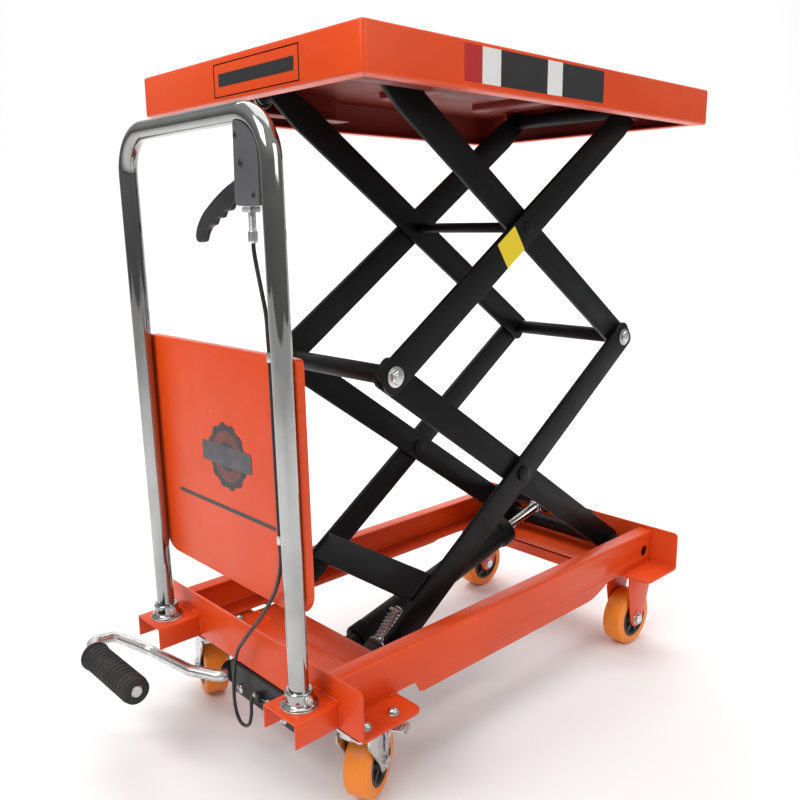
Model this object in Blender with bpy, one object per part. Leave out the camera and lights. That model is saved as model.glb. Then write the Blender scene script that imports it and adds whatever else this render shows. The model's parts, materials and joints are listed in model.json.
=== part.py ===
"""Scissor lift table: double scissor, four wheels, fixed push handle, foot pump.

Metres, +Z up, floor at z = 0.  X runs along the table with the handle end at -X.
Y runs across it, "left" is +Y and "right" is -Y.  The dimensions below are taken from the
middle of the platform; the finished object is shifted so that x = 0 is its own middle.
The arms hinge on the base and on the platform at the +X end and run on rollers at the -X end.
"""
import bpy
import bmesh
from math import cos, sin, tan, pi, radians, atan2, hypot
from mathutils import Vector, Matrix

# ---------------------------------------------------------------- driving dimensions
ARM_L = 0.677                 # between the two end pivots of an arm
REST = radians(34.8)          # slope of the arms as it stands
HINGE_X = 0.332
HINGE_Z = 0.168
DECK_L = 0.740
DECK_W = 0.480
SKIRT = 0.054
SHEET = 0.0025
PIN_TO_TOP = 0.021            # platform hinge line to the platform's top face
GAP = 0.0003                  # between two pieces that touch

# ---------------------------------------------------------------- worked out from them
RUN = ARM_L * cos(REST)
RISE = ARM_L * sin(REST)
ROLL_X = HINGE_X - RUN
MID_X = HINGE_X - RUN / 2
LOW_CROSS_Z = HINGE_Z + RISE / 2
JOINT_Z = HINGE_Z + RISE
UP_CROSS_Z = JOINT_Z + RISE / 2
TOP_Z = JOINT_Z + RISE
DECK_Z = TOP_Z + PIN_TO_TOP
DECK_UNDER = DECK_Z - SHEET

INNER = (0.110, 0.118)        # |y| of the inner arms
OUTER = (0.119, 0.127)        # |y| of the outer arms
INNER_W = 0.045
OUTER_W = 0.046
PIN_R = 0.008
CROSS_R = 0.0095
SHAFT_R = 0.0097
ROLLER_Y = (0.1523, 0.1797)
LOW_ROLLER_R = 0.0177
TOP_ROLLER_R = 0.0182
STUB_R = 0.0065

WEB = (0.187, 0.190)          # |y| of the side rail's web
STRIP = (0.1855, 0.1885)      # |y| of the web below its crease
TRACK_Z = 0.150
RAIL_TOP = 0.202
RAIL_X = (-0.3857, 0.3557)
ANGLE_Z = (0.1385, 0.1425)    # flat leg of both end angles
FRONT_X = -0.390
REAR_X = 0.360
EAR_Y = 0.240

WHEEL_R = 0.050
TREAD = 0.036
HUB_R = 0.034
AXLE_R = 0.006
REAR_AXLE_X = 0.300
REAR_WHEEL_Y = 0.1774
CASTER_X = -0.3435
CASTER_Y = 0.180
TRAIL = 0.030
CASTER_TURN = {-1: radians(26), 1: radians(70)}

CYL_FOOT = (-0.222, 0.108)    # x, z of the cylinder's lower pin
LIFT_ARM = 0.085              # base hinge to the rod's pin
LIFT_LEAD = radians(11.7)     # how far the rod's pin stands above the arm's centre line
ROD_R = 0.008
TUBE_R = 0.023
BORE_R = 0.0150

POST_Y = 0.167
POST_FOOT = (-0.427, 0.1795)  # x, z
POST_TOP = (-0.4385, 0.875)
HANDLE_BEND = 0.055
POST_R = 0.0125
PEDAL_R = 0.0085
PEDAL_HUB = (-0.380, 0.064, 0.108)

GRIP_X = -0.531               # the pedal's grip, the piece that reaches furthest to -X
GRIP_R = 0.0215
MIDDLE_X = -(GRIP_X - GRIP_R + DECK_L / 2) / 2
MIDDLE_Y = -0.0093             # the turned left caster reaches furthest to +Y

LEAN = atan2(POST_TOP[0] - POST_FOOT[0], POST_TOP[1] - POST_FOOT[1])
LIFT_PIN = (HINGE_X - LIFT_ARM * cos(REST + LIFT_LEAD), HINGE_Z + LIFT_ARM * sin(REST + LIFT_LEAD))
ROD_DIR = Vector((LIFT_PIN[0] - CYL_FOOT[0], 0, LIFT_PIN[1] - CYL_FOOT[1])).normalized()
ROD_LEN = hypot(LIFT_PIN[0] - CYL_FOOT[0], LIFT_PIN[1] - CYL_FOOT[1])
PLUNGE_AT = Vector((-0.205, -0.060, 0.131))
PLUNGE_DIR = Vector((cos(radians(44)), 0, sin(radians(44))))
RELEASE_PIN = (-0.4375, -0.1250, 0.8200)
VALVE_PIN = (-0.396, -0.085, 0.108)


# ---------------------------------------------------------------- materials
def paint(name, rgb, metal, rough):
    """One Principled material."""
    mat = bpy.data.materials.new(name)
    mat.use_nodes = True
    shader = mat.node_tree.nodes["Principled BSDF"]
    shader.inputs["Base Color"].default_value = (rgb[0], rgb[1], rgb[2], 1)
    shader.inputs["Metallic"].default_value = metal
    shader.inputs["Roughness"].default_value = rough
    mat.diffuse_color = (rgb[0], rgb[1], rgb[2], 1)
    return mat


LOOKS = {
    "orange": ((0.78, 0.10, 0.03), 0.0, 0.35),
    "black": ((0.012, 0.012, 0.014), 0.0, 0.45),
    "chrome": ((0.80, 0.80, 0.80), 1.0, 0.10),
    "zinc": ((0.55, 0.55, 0.54), 1.0, 0.35),
    "steel": ((0.42, 0.42, 0.43), 1.0, 0.40),
    "tyre": ((0.86, 0.24, 0.03), 0.0, 0.45),
    "plastic": ((0.015, 0.015, 0.017), 0.0, 0.5),
    "rubber": ((0.012, 0.012, 0.012), 0.0, 0.75),
    "grey": ((0.30, 0.31, 0.32), 0.1, 0.5),
}


# ---------------------------------------------------------------- solids
def closed(bm):
    """Face normals outward, then hand the mesh over."""
    bmesh.ops.recalc_face_normals(bm, faces=bm.faces)
    mesh = bpy.data.meshes.new("solid")
    bm.to_mesh(mesh)
    bm.free()
    return mesh


def prism(outline, axis, span):
    """A flat outline pushed along one axis.

    The outline's two coordinates are (y, z) along X, (x, z) along Y and (x, y) along Z.
    """
    place = {
        "X": lambda p, d: (d, p[0], p[1]),
        "Y": lambda p, d: (p[0], d, p[1]),
        "Z": lambda p, d: (p[0], p[1], d),
    }[axis]
    bm = bmesh.new()
    near = [bm.verts.new(place(p, span[0])) for p in outline]
    far = [bm.verts.new(place(p, span[1])) for p in outline]
    count = len(outline)
    bm.faces.new(near)
    bm.faces.new(far)
    for i in range(count):
        j = (i + 1) % count
        bm.faces.new((near[i], near[j], far[j], far[i]))
    return closed(bm)


def block(x, y, z):
    """A box between three pairs of coordinates."""
    return prism([(x[0], y[0]), (x[1], y[0]), (x[1], y[1]), (x[0], y[1])], "Z", z)


def turned(profile, at, axis, sides=16):
    """A profile of (radius, distance) pairs turned about an axis through a point.

    A profile that starts and ends on the axis gives a solid, any other one gives a ring.
    """
    axis = Vector(axis).normalized()
    spare = Vector((0, 0, 1)) if abs(axis.z) < 0.9 else Vector((0, 1, 0))
    side = spare.cross(axis).normalized()
    up = axis.cross(side)
    at = Vector(at)
    bm = bmesh.new()
    rings = []
    for radius, along in profile:
        centre = at + axis * along
        if radius == 0:
            rings.append([bm.verts.new(centre)])
            continue
        ring = []
        for i in range(sides):
            turn = 2 * pi * i / sides
            ring.append(bm.verts.new(centre + (side * cos(turn) + up * sin(turn)) * radius))
        rings.append(ring)
    pairs = list(zip(rings, rings[1:]))
    if profile[0][0] > 0:
        pairs.append((rings[-1], rings[0]))
    for a, b in pairs:
        for i in range(sides):
            j = (i + 1) % sides
            if len(a) == 1:
                bm.faces.new((a[0], b[i], b[j]))
            elif len(b) == 1:
                bm.faces.new((a[i], b[0], a[j]))
            else:
                bm.faces.new((a[i], b[i], b[j], a[j]))
    return closed(bm)


def rod(a, b, radius, sides=16):
    """A plain round bar between two points."""
    a = Vector(a)
    length = (Vector(b) - a).length
    return turned([(0, 0), (radius, 0), (radius, length), (0, length)], a, Vector(b) - a, sides)


def ring(at, axis, inner, outer, span, chamfer=0.0, sides=16):
    """A washer or bush: bore, outside and length, with its outer corners broken."""
    a, b = span
    c = chamfer
    profile = [(inner, a), (outer - c, a), (outer, a + c), (outer, b - c), (outer - c, b), (inner, b)]
    if c == 0:
        profile = [(inner, a), (outer, a), (outer, b), (inner, b)]
    return turned(profile, at, axis, sides)


def bent(points, bends, steps=6):
    """A polyline with its inner corners rounded to the bend radii."""
    pts = [Vector(p) for p in points]
    path = [pts[0]]
    for i in range(1, len(pts) - 1):
        back = (pts[i - 1] - pts[i]).normalized()
        ahead = (pts[i + 1] - pts[i]).normalized()
        half = back.angle(ahead) / 2
        radius = bends[i - 1] if isinstance(bends, (list, tuple)) else bends
        cut = radius / tan(half)
        middle = pts[i] + (back + ahead).normalized() * (radius / sin(half))
        start = pts[i] + back * cut - middle
        end = pts[i] + ahead * cut - middle
        for k in range(steps + 1):
            path.append(middle + start.normalized().slerp(end.normalized(), k / steps) * radius)
    path.append(pts[-1])
    return path


def swept(path, radius, sides=16):
    """A round bar along a path, with flat ends."""
    path = [Vector(p) for p in path]
    last = len(path) - 1
    ahead = (path[1] - path[0]).normalized()
    spare = Vector((0, 0, 1)) if abs(ahead.z) < 0.9 else Vector((0, 1, 0))
    side = spare.cross(ahead).normalized()
    bm = bmesh.new()
    rings = []
    for i, point in enumerate(path):
        a = path[max(i - 1, 0)]
        b = path[min(i + 1, last)]
        now = (b - a).normalized()
        side = (side - now * side.dot(now)).normalized()
        up = now.cross(side)
        rings.append([
            bm.verts.new(point + (side * cos(2 * pi * k / sides) + up * sin(2 * pi * k / sides)) * radius)
            for k in range(sides)
        ])
    for a, b in zip(rings, rings[1:]):
        for k in range(sides):
            j = (k + 1) % sides
            bm.faces.new((a[k], b[k], b[j], a[j]))
    bm.faces.new(rings[0])
    bm.faces.new(rings[-1])
    return closed(bm)


def rounded(x0, x1, z0, z1, radii, steps=5):
    """A rectangle with four corner radii, counter-clockwise from the low corner."""
    corners = [(x0, z0, 1, 1, pi), (x1, z0, -1, 1, 1.5 * pi), (x1, z1, -1, -1, 0), (x0, z1, 1, -1, 0.5 * pi)]
    outline = []
    for (x, z, dx, dz, start), r in zip(corners, radii):
        if r == 0:
            outline.append((x, z))
            continue
        for k in range(steps + 1):
            turn = start + 0.5 * pi * k / steps
            outline.append((x + dx * r + r * cos(turn), z + dz * r + r * sin(turn)))
    return outline


def bar_outline(p, q, width, over_p, over_q, slim=False):
    """A flat bar between two pivots, its ends brought to a blunt nose.

    A slim far end is tapered so that it swings clear just under the platform sheet.
    """
    p = Vector(p)
    q = Vector(q)
    along = (q - p).normalized()
    across = Vector((-along.y, along.x))
    half = width / 2
    length = (q - p).length
    blunt = [(half, -0.45), (half * 0.86, -0.81), (half * 0.45, -1.0)]
    outline = [(-over_p + half * (1 + reach), -out) for out, reach in reversed(blunt)]
    if slim:
        far = [(-0.046, half), (-0.004, 0.0172), (0.008, 0.0150), (0.0155, 0.008)]
    else:
        far = [(over_q - half * (1 + reach), out) for out, reach in blunt]
    outline += [(length + s, -h) for s, h in far]
    outline += [(length + s, h) for s, h in reversed(far)]
    outline += [(-over_p + half * (1 + reach), out) for out, reach in blunt]
    return [tuple(p + along * s + across * h) for s, h in outline]


def between(side, span):
    """|y| from the middle outwards, as rising y on the given side."""
    a, b = span
    return (a, b) if side > 0 else (-b, -a)


def make(name, look, parts, cuts=(), origin=(0, 0, 0), turn=None):
    """Weld the parts into one solid, take the cuts out of it and name it.

    The named object stands with its origin on its own hinge line or spin axis.
    """
    helpers = []
    body = bpy.data.objects.new(name, parts[0])
    bpy.context.scene.collection.objects.link(body)
    for mesh, way in [(m, "UNION") for m in parts[1:]] + [(m, "DIFFERENCE") for m in cuts]:
        tool = bpy.data.objects.new("tool", mesh)
        bpy.context.scene.collection.objects.link(tool)
        helpers.append(tool)
        step = body.modifiers.new("weld", "BOOLEAN")
        step.operation = way
        step.solver = "EXACT"
        step.object = tool
    graph = bpy.context.evaluated_depsgraph_get()
    mesh = bpy.data.meshes.new_from_object(body.evaluated_get(graph), depsgraph=graph)
    body.modifiers.clear()
    body.data = mesh
    for tool in helpers:
        bpy.data.objects.remove(tool, do_unlink=True)
    if turn is not None:
        mesh.transform(turn)
    bm = bmesh.new()
    bm.from_mesh(mesh)
    bmesh.ops.remove_doubles(bm, verts=bm.verts, dist=1e-6)
    bmesh.ops.dissolve_degenerate(bm, dist=1e-6, edges=bm.edges)
    bmesh.ops.triangulate(bm, faces=[f for f in bm.faces if len(f.verts) > 4])
    bm.to_mesh(mesh)
    bm.free()
    mesh.transform(Matrix.Translation(-Vector(origin)))
    body.location = origin
    mesh.materials.clear()
    mesh.materials.append(MATS[look])
    mesh.name = name
    mesh.shade_smooth()
    mesh.set_sharp_from_angle(angle=radians(32))
    return body


def left_right(side):
    return "left" if side > 0 else "right"


# ---------------------------------------------------------------- base frame
def rails():
    """Folded side rails: web, inward top flange, roller track and the strip below it."""
    x0, x1 = RAIL_X
    for side in (-1, 1):
        upper = block(RAIL_X, between(side, WEB), (TRACK_Z - 0.003, RAIL_TOP))
        flange = block(RAIL_X, between(side, (0.165, WEB[1])), (RAIL_TOP - 0.003, RAIL_TOP))
        track = block(RAIL_X, between(side, (0.150, WEB[1])), (TRACK_Z - 0.003, TRACK_Z))
        low = ANGLE_Z[1] + GAP
        strip = prism([
            (x0, low), (-0.252, low), (-0.246, 0.140), (-0.238, 0.124), (0.165, 0.124),
            (0.178, 0.126), (0.214, 0.1385), (0.225, low), (x1, low), (x1, 0.149), (x0, 0.149),
        ], "Y", between(side, STRIP))
        stop = block((-0.058, -0.052), between(side, (0.155, WEB[1] - 0.001)), (TRACK_Z - 0.001, 0.176))
        hole = rod((HINGE_X, side * 0.18, HINGE_Z), (HINGE_X, side * 0.20, HINGE_Z), 0.0100)
        make("rail_" + left_right(side), "orange", [upper, flange, track, strip, stop], [hole])


def end_angles():
    """The two cross angles, their ears carrying the wheels outside the rails."""
    ear = 0.012
    flat = prism(rounded(FRONT_X, -0.285, -EAR_Y, EAR_Y, (0, ear, ear, 0)), "Z", ANGLE_Z)
    face = rounded(-EAR_Y, EAR_Y, ANGLE_Z[0], 0.207, (0, 0, 0.006, 0.006))
    upright = prism(face, "X", (FRONT_X, FRONT_X + 0.004))
    make("front_cross_angle", "orange", [flat, upright])
    flat = prism(rounded(0.264, REAR_X, -EAR_Y, EAR_Y, (ear, 0, 0, ear)), "Z", ANGLE_Z)
    upright = prism(face, "X", (REAR_X - 0.004, REAR_X))
    lip = block((0.264, 0.268), (-0.145, 0.145), (0.120, ANGLE_Z[1]))
    make("rear_cross_angle", "orange", [flat, upright, lip])


def rear_forks():
    """Folded forks under the rear angle, legs tapering down to the axle bolt."""
    outline = [(0.270, 0.1382), (0.345, 0.1382), (0.345, 0.128), (0.318, 0.047), (0.311, 0.038),
               (0.300, 0.035), (0.289, 0.038), (0.282, 0.047), (0.270, 0.105)]
    for side in (-1, 1):
        y = side * REAR_WHEEL_Y
        top = block((0.270, 0.345), (y - 0.0235, y + 0.0235), (0.1352, 0.1382))
        legs = [prism(outline, "Y", (y + s * 0.022 - 0.0015, y + s * 0.022 + 0.0015)) for s in (-1, 1)]
        at = (REAR_AXLE_X, y, WHEEL_R)
        bolt = turned([(0, -0.0295), (0.009, -0.0295), (0.0105, -0.028), (0.0105, -0.023), (AXLE_R, -0.023),
                       (AXLE_R, 0.023), (0.0105, 0.023), (0.0105, 0.028), (0.009, 0.0295), (0, 0.0295)],
                      at, (0, 1, 0))
        make("rear_fork_" + left_right(side), "orange", [top] + legs + [bolt])


def pump_base():
    """Plate behind the front angle with the cylinder's lugs and the pump's return cup."""
    plate = block((-0.2847, -0.234), (-0.149, 0.149), ANGLE_Z)
    x, z = CYL_FOOT
    lug = [(-0.262, 0.139), (-0.236, 0.139), (-0.208, 0.118), (-0.206, 0.104), (-0.214, 0.094),
           (-0.230, 0.094), (-0.262, 0.128)]
    lugs = [prism(lug, "Y", between(s, (0.0262, 0.0322))) for s in (-1, 1)]
    pin = turned([(0, -0.0365), (0.0105, -0.0365), (0.0115, -0.0355), (0.0115, -0.032), (PIN_R, -0.032),
                  (PIN_R, 0.032), (0.0115, 0.032), (0.0115, 0.0355), (0.0105, 0.0365), (0, 0.0365)],
                 (x, 0, z), (0, 1, 0))
    arm = prism([(-0.250, 0.139), (-0.236, 0.139), (-0.196, 0.119), (-0.206, 0.106), (-0.222, 0.107),
                 (-0.250, 0.125)], "Y", (-0.064, -0.056))
    cup = turned([(0, -0.034), (0.0155, -0.034), (0.0175, -0.032), (0.0175, 0.004), (0.0145, 0.004),
                  (0.0145, -0.030), (0, -0.030)], PLUNGE_AT, PLUNGE_DIR)
    clear = turned([(0, -0.030), (0.0145, -0.030), (0.0145, 0.012), (0, 0.012)], PLUNGE_AT, PLUNGE_DIR)
    make("pump_base_plate", "orange", [plate] + lugs + [pin, arm, cup], [clear])


def pump():
    """Foot pump body under the front angle, with the pedal's pin and the valve's pin."""
    body = prism(rounded(-0.392, -0.332, 0.085, 0.1382, (0.006, 0.006, 0.002, 0.002)), "Y", (-0.102, 0.050))
    pin = rod((PEDAL_HUB[0], 0.049, PEDAL_HUB[2]), (PEDAL_HUB[0], 0.0785, PEDAL_HUB[2]), 0.006, 16)
    head = turned([(0, 0.0785), (0.0095, 0.0785), (0.0095, 0.0815), (0.0085, 0.0825), (0, 0.0825)],
                  (PEDAL_HUB[0], 0, PEDAL_HUB[2]), (0, 1, 0), 16)
    stub = rod((-0.391, VALVE_PIN[1], VALVE_PIN[2]), (-0.4005, VALVE_PIN[1], VALVE_PIN[2]), 0.003, 12)
    cap = rod((-0.4003, VALVE_PIN[1], VALVE_PIN[2]), (-0.4025, VALVE_PIN[1], VALVE_PIN[2]), 0.0055, 12)
    stop = block((-0.401, -0.391), (-0.033, -0.025), (0.106, 0.120))
    make("pump_body", "black", [body, pin, head, stub, cap, stop])


def base_shaft():
    """Fixed shaft of the base hinge, its ends standing in the holes of the rails."""
    half = [(SHAFT_R, 0.1875), (SHAFT_R, 0.1867), (0.014, 0.1865), (0.014, 0.1184), (SHAFT_R, 0.1184),
            (SHAFT_R, 0.1096), (0.0135, 0.1096)]
    profile = [(0, 0.1875)] + half + [(r, -y) for r, y in reversed(half)] + [(0, -0.1875)]
    make("base_pivot_shaft", "black", [turned(profile, (HINGE_X, 0, HINGE_Z), (0, 1, 0))])


# ---------------------------------------------------------------- scissor arms
def head(side, radius, start, end, at):
    """Nut or bolt head outside an arm."""
    profile = [(0, side * start), (radius, side * start), (radius, side * (end - 0.0015)),
               (radius - 0.0015, side * end), (0, side * end)]
    return turned(profile, at, (0, 1, 0))


def through(at, radius, span=(-0.3, 0.3)):
    """A bore across the table."""
    return rod((at[0], span[0], at[1]), (at[0], span[1], at[1]), radius)


def stub(side, x, z, start):
    """Spacer, roller pin and end washer standing out from an arm."""
    profile = [(0, start), (0.012, start), (0.012, 0.152), (STUB_R, 0.152), (STUB_R, 0.180), (0.0105, 0.180),
               (0.0105, 0.1825), (0.0095, 0.1835), (0, 0.1835)]
    return turned([(r, side * y) for r, y in profile], (x, 0, z), (0, 1, 0), 20)


def arms():
    low = (ROLL_X, HINGE_Z)
    hinge = (HINGE_X, HINGE_Z)
    near = (ROLL_X, JOINT_Z)
    far = (HINGE_X, JOINT_Z)
    top = (HINGE_X, TOP_Z)
    roll = (ROLL_X, TOP_Z)
    lower = (MID_X, LOW_CROSS_Z)
    upper = (MID_X, UP_CROSS_Z)
    for side in (-1, 1):
        word = left_right(side)
        flat = prism(bar_outline(hinge, near, INNER_W, 0.0172, 0.020), "Y", between(side, INNER))
        pin = turned([(0, side * 0.1065), (0.013, side * 0.1065), (0.013, side * 0.1105),
                      (CROSS_R, side * 0.1105), (CROSS_R, side * 0.1273), (0.0145, side * 0.1273),
                      (0.0145, side * 0.1315),
                      (0.013, side * 0.1330), (0, side * 0.1330)], (lower[0], 0, lower[1]), (0, 1, 0))
        make("lower_inner_arm_" + word, "black", [flat, pin],
             [through(hinge, 0.0101), through(near, 0.0083)], (HINGE_X, 0, HINGE_Z))

        flat = prism(bar_outline(low, far, OUTER_W, 0.0172, 0.021), "Y", between(side, OUTER))
        make("lower_outer_arm_" + word, "black", [flat, stub(side, low[0], low[1], 0.120)],
             [through(lower, CROSS_R + 0.0004), through(far, PIN_R + 0.0012)], (MID_X, 0, LOW_CROSS_Z))

        flat = prism(bar_outline(near, top, OUTER_W, 0.021, 0.0155, True), "Y", between(side, OUTER))
        make("upper_outer_arm_" + word, "black", [flat],
             [through(near, PIN_R + 0.0004), through(upper, PIN_R + 0.0003), through(top, PIN_R + 0.0004)],
             (ROLL_X, 0, JOINT_Z))

        flat = prism(bar_outline(far, roll, INNER_W, 0.020, 0.0155, True), "Y", between(side, INNER))
        make("upper_inner_arm_" + word, "black", [flat, stub(side, roll[0], roll[1], 0.111)],
             [through(far, PIN_R + 0.0003), through(upper, PIN_R + 0.0004)], (MID_X, 0, UP_CROSS_Z))

    shoulder = [(PIN_R, 0.1273), (PIN_R, 0.1097)]
    for name, at, waist, end in (("middle_front_shaft", near, 0.0135, 0.1345),
                                 ("middle_rear_shaft", far, 0.0125, 0.1345)):
        half = [(0, end), (0.0105, end), (0.012, end - 0.0015), (0.012, 0.1273)]
        half += shoulder + [(waist, 0.1097)]
        profile = half + [(r, -y) for r, y in reversed(half)]
        origin = (HINGE_X, 0, HINGE_Z) if at is near else (MID_X, 0, UP_CROSS_Z)
        make(name, "black", [turned(profile, (at[0], 0, at[1]), (0, 1, 0))], origin=origin)
    half = [(0, 0.1345), (0.0115, 0.1345), (0.013, 0.133), (0.013, 0.1273), (PIN_R, 0.1273)]
    profile = half + [(r, -y) for r, y in reversed(half)]
    make("upper_crossing_shaft", "black", [turned(profile, (MID_X, 0, UP_CROSS_Z), (0, 1, 0))],
         origin=(ROLL_X, 0, JOINT_Z))

    along = Vector((cos(REST), sin(REST)))
    across = Vector((-along.y, along.x))
    foot = Vector(low)
    corners = [(0.056, 0.0195), (0.107, 0.0195), (0.107, 0.0245), (0.056, 0.0245)]
    outline = [tuple(foot + along * a + across * b) for a, b in corners]
    plate = prism(outline, "Y", (-0.1187, 0.1187))
    make("lower_cross_plate", "black", [plate], origin=(MID_X, 0, LOW_CROSS_Z))


def lift_bracket():
    """Cross bar between the lower inner arms that the cylinder pushes on."""
    half = [(0, 0.1097), (0.012, 0.1097), (0.012, 0.020), (0.0155, 0.020), (0.0155, 0.0128),
            (0.0105, 0.0128)]
    profile = half + [(r, -y) for r, y in reversed(half)]
    make("lift_bracket", "black", [turned(profile, (LIFT_PIN[0], 0, LIFT_PIN[1]), (0, 1, 0))],
         origin=(HINGE_X, 0, HINGE_Z))


def rollers():
    for side in (-1, 1):
        for name, x, z, radius in (("lower_roller_", ROLL_X, HINGE_Z, LOW_ROLLER_R),
                                   ("upper_roller_", ROLL_X, TOP_Z, TOP_ROLLER_R)):
            mesh = ring((x, 0, z), (0, 1, 0), STUB_R + 0.0004, radius, between(side, ROLLER_Y), 0.0012, 24)
            make(name + left_right(side), "steel", [mesh], origin=(x, side * 0.166, z))


# ---------------------------------------------------------------- platform
def deck():
    """Folded tray, upside down, with the two top roller guides welded under it."""
    x = DECK_L / 2
    y = DECK_W / 2
    low = DECK_Z - SKIRT
    shell = prism(rounded(-x, x, -y, y, (0.004,) * 4, 3), "Z", (low, DECK_Z))
    hollow = block((-x + SHEET, x - SHEET), (-y + SHEET, y - SHEET), (low + SHEET, DECK_UNDER))
    mouth = block((-x + 0.022, x - 0.022), (-y + 0.022, y - 0.022), (low - 0.01, low + 0.02))
    tray = make("tray", "orange", [shell], [hollow, mouth])
    guides = []
    for side in (-1, 1):
        guides.append(block((-0.358, -0.058), between(side, (0.186, 0.189)), (0.9166, DECK_UNDER + 0.001)))
        guides.append(block((-0.358, -0.058), between(side, (0.152, 0.189)), (0.9166, 0.9196)))
    mesh = tray.data
    bpy.data.objects.remove(tray, do_unlink=True)
    make("deck", "orange", [mesh] + guides, origin=(HINGE_X, 0, TOP_Z))

    for side in (-1, 1):
        half = [(-0.030, DECK_UNDER - GAP), (-0.017, 0.9280), (-0.008, 0.9215)]
        outline = [(HINGE_X + dx, z) for dx, z in half] + [(HINGE_X - dx, z) for dx, z in reversed(half)]
        cheek = prism(outline, "Y", between(side, (0.1275, 0.1325)))
        bore = through((HINGE_X, TOP_Z), PIN_R + 0.0003)
        make("deck_bracket_" + left_right(side), "orange", [cheek], [bore], (HINGE_X, 0, TOP_Z))
    half = [(0, 0.1375), (0.0105, 0.1375), (0.012, 0.136), (0.012, 0.1328), (PIN_R, 0.1328), (PIN_R, 0.1187),
            (0.0125, 0.1187)]
    profile = half + [(r, -y) for r, y in reversed(half)]
    shaft = turned(profile, (HINGE_X, 0, TOP_Z), (0, 1, 0))
    make("deck_pivot_shaft", "black", [shaft], origin=(HINGE_X, 0, TOP_Z))


# ---------------------------------------------------------------- hydraulics
def cylinder():
    foot = Vector((CYL_FOOT[0], 0, CYL_FOOT[1]))
    wide = ROD_LEN - 0.112
    eye = rod((foot.x, -0.0258, foot.z), (foot.x, 0.0258, foot.z), 0.0155)
    barrel = turned([(0, 0.004), (0.015, 0.004), (0.015, 0.026), (TUBE_R, 0.026), (TUBE_R, wide - 0.022),
                     (0.0255, wide - 0.022), (0.0255, wide - 0.0015), (0.024, wide), (0, wide)], foot,
                     ROD_DIR, 28)
    bore = turned([(0, 0.060), (BORE_R, 0.060), (BORE_R, wide + 0.01), (0, wide + 0.01)], foot, ROD_DIR, 24)
    hole = rod((foot.x, -0.05, foot.z), (foot.x, 0.05, foot.z), PIN_R + 0.0004)
    make("cylinder_tube", "black", [eye, barrel], [hole, bore], origin=foot)

    tip = Vector((LIFT_PIN[0], 0, LIFT_PIN[1]))
    shank = rod(foot + ROD_DIR * 0.170, tip - ROD_DIR * 0.013, ROD_R)
    eye = rod((tip.x, -0.0125, tip.z), (tip.x, 0.0125, tip.z), 0.018)
    hole = rod((tip.x, -0.05, tip.z), (tip.x, 0.05, tip.z), 0.0109)
    make("piston_rod", "chrome", [shank, eye], [hole], origin=tip)


def return_spring():
    """Plunger with its coil spring, going down into the cup."""
    stem = turned([(0, -0.008), (0.006, -0.008), (0.006, 0.056), (0.0135, 0.056), (0.0135, 0.0595),
                   (0.012, 0.061), (0.006, 0.061), (0.006, 0.067), (0, 0.067)], PLUNGE_AT, PLUNGE_DIR, 20)
    make("pump_plunger", "steel", [stem], origin=PLUNGE_AT)
    side = Vector((0, 1, 0))
    up = PLUNGE_DIR.cross(side)
    turns = 7
    steps = 10
    path = []
    for i in range(turns * steps + 1):
        turn = 2 * pi * i / steps
        rise = -0.006 + 0.0603 * i / (turns * steps)
        path.append(PLUNGE_AT + PLUNGE_DIR * rise + (side * cos(turn) + up * sin(turn)) * 0.0107)
    make("pump_spring", "steel", [swept(path, 0.0013, 6)], origin=PLUNGE_AT)


# ---------------------------------------------------------------- handle end
def lean_x(z):
    """X of the posts' centre line at a height."""
    return POST_FOOT[0] + (z - POST_FOOT[1]) * tan(LEAN)


def handle_path():
    """Centre line of the push handle, up one post, across and down the other."""
    foot = 0.1800
    top = POST_TOP[1]
    corners = [(lean_x(z), y, z) for y, z in
               ((-POST_Y, foot), (-POST_Y, top), (POST_Y, top), (POST_Y, foot))]
    return bent(corners, HANDLE_BEND, 8)


def handle():
    lean = Vector((sin(LEAN), 0, cos(LEAN)))
    for side in (-1, 1):
        channel = prism([
            (side * 0.133, 0.145), (side * 0.133, 0.178), (side * 0.200, 0.178), (side * 0.200, 0.145),
            (side * 0.197, 0.145), (side * 0.197, 0.175), (side * 0.136, 0.175), (side * 0.136, 0.145),
        ], "X", (-0.458, FRONT_X - GAP))
        make("handle_bracket_" + left_right(side), "orange", [channel])

        at = Vector((lean_x(0.1788), side * POST_Y, 0.1788))
        collar = turned([(0.0130, 0), (0.0225, 0), (0.0225, 0.0035), (0.0185, 0.0048), (0.0175, 0.007),
                         (0.0175, 0.019), (0.0160, 0.021), (0.0130, 0.021)], at, lean, 24)
        boss = rod((at.x, at.y - 0.0165, at.z + 0.0125), (at.x, at.y - 0.0235, at.z + 0.0125), 0.0055, 12)
        keep = rod(at - lean * 0.01, at + lean * 0.05, 0.0130, 24)
        make("handle_collar_" + left_right(side), "chrome", [collar, boss], [keep])

    make("handle_tube", "chrome", [swept(handle_path(), POST_R, 20)])

    base = 0.285
    height = 0.320
    thick = 0.0015
    outline = [(-0.175, height), (-0.175, 0.035), (-0.170, 0.014), (-0.158, 0.003), (-0.145, 0), (0.145, 0),
               (0.158, 0.003), (0.170, 0.014), (0.175, 0.035), (0.175, height)]
    back = [(y, z) for y, z in outline]
    sheet = prism(back, "X", (0, thick))
    flanges = [block((0, 0.012), between(s, (0.1735, 0.175)), (0.035, height)) for s in (-1, 1)]
    flanges.append(block((0, 0.012), (-0.175, 0.175), (height - thick, height)))
    lean_up = Matrix.Rotation(LEAN, 4, "Y")
    shift = Matrix.Translation(Vector((lean_x(base) + POST_R / cos(LEAN) + GAP, 0, base)))
    make("handle_panel", "orange", [sheet] + flanges, turn=shift @ lean_up)


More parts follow.
